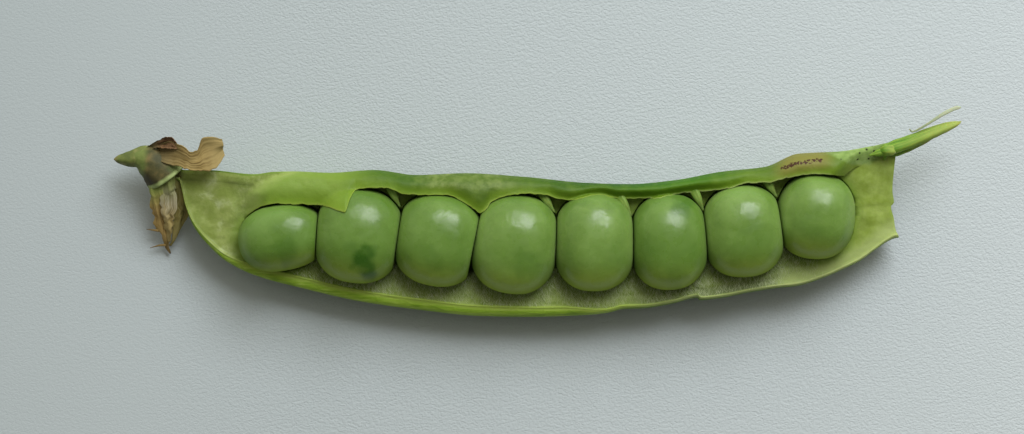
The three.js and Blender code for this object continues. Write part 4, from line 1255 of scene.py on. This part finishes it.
def makeCalyx():
    # a bent bell from its base to its mouth, round the lip and back down to a floor
    steps, around = calyx["steps"], calyx["around"]
    path = curveThrough(calyx["path"], steps)
    share = np.linspace(0, 1, steps + 1)
    radii = smoothThrough(calyx["radii"])(share)
    turn = np.linspace(-1, 1, around, endpoint=False)
    mouth = smoothThrough(calyx["mouth"])(turn) + calyx["waviness"] * wander(turn, 0.12, 12)
    along = np.gradient(path, axis=0)
    along /= np.linalg.norm(along, axis=1)[:, None]
    side = np.array(calyx["reference"]) - along * (along @ np.array(calyx["reference"]))[:, None]
    side /= np.linalg.norm(side, axis=1)[:, None]
    lift = np.cross(along, side)
    angle = turn * math.pi
    shape = 1 + (mouth - 1) * share[:, None]
    spokes = np.cos(angle)[None, :, None] * side[:, None] + np.sin(angle)[None, :, None] * lift[:, None]
    outer = path[:, None] + spokes * (radii[:, None] * shape)[..., None]
    inner = path[:, None] + spokes * ((radii - calyx["wall"])[:, None] * shape)[..., None]
    lip = (outer[-1] + inner[-1]) / 2 + calyx["lipRounding"] * along[-1]
    rings = np.concatenate([outer, lip[None], inner[calyx["floorStep"]:][::-1]])
    count = len(rings)
    depth = np.concatenate([share, [1.0], share[calyx["floorStep"]:][::-1]])[:, None]
    # green where it meets the stem and on the far side of the mouth, withered between them
    across = np.cos(angle)[None] * np.ones((count, 1))
    green = smoothStep(across, -0.1, 0.6) * smoothStep(depth, 0.6, 0.95)
    withered = smoothStep(depth + 0.12 * across, 0.3, 0.58) * (1 - green)
    # darkest brown on the side turned away from the reference direction, deep along the bell
    burnt = smoothStep(depth, 0.35, 0.7) * (1 - smoothStep(across, -0.95, -0.1))
    edge = np.zeros((count, around))
    edge[steps - 4:steps + 4] = np.array([0.2, 0.6, 0.9, 1.0, 1.0, 1.0, 0.8, 0.4])[:, None]
    vertices = np.vstack([rings.reshape(-1, 3), rings[0].mean(0), rings[-1].mean(0)])
    attributes = {"withered": np.append(withered, [0, 1]), "burnt": np.append(burnt, [0, 1]),
                  "lip": np.append(edge, [0, 0])}
    piece = mergedPiece("calyxBell", [(vertices, tubeFaces(count, around), attributes)], materials["calyx"])
    settle(piece, "calyx_cup")


sheet = {"steps": 56, "across": 24, "thickness": 0.1, "ribs": 5, "ribHeight": 0.015}   # of every sepal


def sepalPart(sepal, seed):
    # a thin crumpled sheet with frayed sides between two edges
    steps, across, thickness = sheet["steps"], sheet["across"], sheet["thickness"]
    first = curveThrough(sepal["first"], steps)
    second = curveThrough(sepal["second"], steps)
    t = np.linspace(0, 1, steps + 1)
    gap = np.linalg.norm(second - first, axis=1)
    fray = sepal["fray"] * np.sin(math.pi * t)[:, None] * (second - first) / (gap + 0.2)[:, None]
    first = first + fray * (wander(t * 40, 1.7, seed) * 1.6)[:, None]
    second = second + fray * (wander(t * 40, 1.7, seed + 50) * 1.6)[:, None]
    u = np.linspace(0, 1, across + 1)[None, :, None]
    middle = first[:, None] * (1 - u) + second[:, None] * u
    normal = np.cross(np.gradient(middle, axis=0), np.gradient(middle, axis=1))
    normal /= np.linalg.norm(normal, axis=2)[..., None] + 1e-9
    if normal[steps // 2, across // 2, 2] < 0:
        normal = -normal
    width = np.minimum(np.linalg.norm(second - first, axis=1)[:, None], 2)
    u, v = u[..., 0], t[:, None]
    lift = sepal["cup"] * width * (4 * (u - 0.5) ** 2 - 0.5)
    lift = lift + sepal["crumple"] * wanderOver(u * 3 + 3 * seed, v * 5, 1.0, seed) * np.minimum(width, 1)
    lift = lift + sheet["ribHeight"] * np.cos(2 * math.pi * u * sheet["ribs"]) * np.minimum(width, 1)
    middle = middle + lift[..., None] * normal
    top, bottom = middle + normal * thickness / 2, middle - normal * thickness / 2
    rows, columns = steps + 1, across + 1
    around = 2 * columns
    ring = np.concatenate([top, bottom[:, ::-1]], axis=1)
    both = np.broadcast_to(u, (rows, columns))
    turn = np.concatenate([both, both[:, ::-1]], axis=1)
    along = np.broadcast_to(v, (rows, around))
    faces = tubeFaces(rows, around, closedEnds=False)
    for i in range(columns - 1):
        start = (i, i + 1, around - 2 - i, around - 1 - i)
        faces.append(start[::-1])
        faces.append(tuple((rows - 1) * around + q for q in start))
    return ring.reshape(-1, 3), faces, {"turn": turn, "along": along}


def makeSepal(number, name, sepal):
    parts = [sepalPart(sepal, 20 + number)]
    for spike in sepal.get("spikes", []):
        path = curveThrough(spike, 10)
        part = tubePart(path, np.linspace(0.16, 0.03, len(path)), 8, flat=0.5)
        part[2]["along"] = 0.85 + 0.15 * part[2]["along"]   # toned as the end of the sepal is
        parts.append(part)
    piece = mergedPiece(name, parts, materials[sepal["material"]])
    settle(piece, sepal["node"])


makeStem()
makeCalyx()
for number, (name, sepal) in enumerate(sepals.items()):
    makeSepal(number, name, sepal)
print("stem, calyx and sepals made")


# torn string and loose fibre

# strands of the torn string, each a path and its radii; the last two are the knot where they leave the seam
strings = [
    {"path": [(39.2, 6.75, 6.75), (40.6, 7.15, 6.8), (41.8, 7.5, 6.8), (43.4, 8.0, 6.8), (45.4, 8.85, 6.8),
              (47.0, 9.5, 6.7), (48.3, 10.0, 6.5), (49.3, 10.35, 6.4)],
     "radii": [(0, 0.1), (0.12, 0.45), (0.25, 0.55), (0.5, 0.55), (0.75, 0.45), (0.92, 0.25), (1, 0.06)]},
    {"path": [(40.8, 7.75, 6.7), (42.2, 8.15, 6.6), (44.0, 8.8, 6.6), (46.0, 9.6, 6.5), (47.8, 10.2, 6.4),
              (49.4, 10.5, 6.3)],
     "radii": [(0, 0.2), (0.2, 0.4), (0.6, 0.32), (0.9, 0.18), (1, 0.05)]},
    {"path": [(41.2, 6.9, 6.2), (42.6, 7.15, 6.1), (44.4, 7.9, 6.2), (46.2, 8.8, 6.2), (47.4, 9.4, 6.2)],
     "radii": [(0, 0.2), (0.2, 0.36), (0.6, 0.3), (1, 0.06)]},
    {"path": [(46.6, 9.5, 6.6), (47.8, 9.75, 6.6), (48.7, 9.95, 6.5)], "radii": [(0, 0.2), (1, 0.05)]},
    {"path": [(40.0, 7.2, 6.6), (40.9, 7.35, 6.95), (41.7, 7.3, 6.9), (42.3, 7.1, 6.5)],
     "radii": [(0, 0.2), (0.4, 0.62), (0.7, 0.55), (1, 0.15)]},
    {"path": [(40.9, 6.3, 6.0), (41.1, 6.9, 6.6), (41.3, 7.6, 6.8), (41.5, 8.1, 6.5)],
     "radii": [(0, 0.12), (0.5, 0.38), (1, 0.15)]},
]
thread = {
    "path": [(43.55, 9.65, 7.2), (44.05, 9.38, 6.95), (45.4, 10.1, 7.3), (47.1, 11.2, 7.5),
             (48.4, 11.85, 7.4), (49.2, 12.05, 7.3)],
    "radii": [(0, 0.05), (0.1, 0.09), (0.4, 0.12), (0.7, 0.2), (0.9, 0.2), (1, 0.08)],
}
strandShape = {"steps": 60, "around": 24, "unevenness": 0.06}


def strandPart(strand, **shape):
    path = curveThrough(strand["path"], strandShape["steps"])
    radii = smoothThrough(strand["radii"])(np.linspace(0, 1, len(path)))
    uneven = 1 + strandShape["unevenness"] * wander(path[:, 0], 0.4, 31)
    return tubePart(path, radii * uneven, strandShape["around"], **shape)


def makeStrands(name, strands, node, material, **shape):
    piece = mergedPiece(name, [strandPart(strand, **shape) for strand in strands], materials[material])
    settle(piece, node)


makeStrands("tornString", strings, "seam_string", "string", flat=0.7, ridges=5, ridgeDepth=0.07)
makeStrands("looseThread", [thread], "loose_fibre", "thread", flat=0.5, ridges=2, ridgeDepth=0.1)
print("string and thread made")
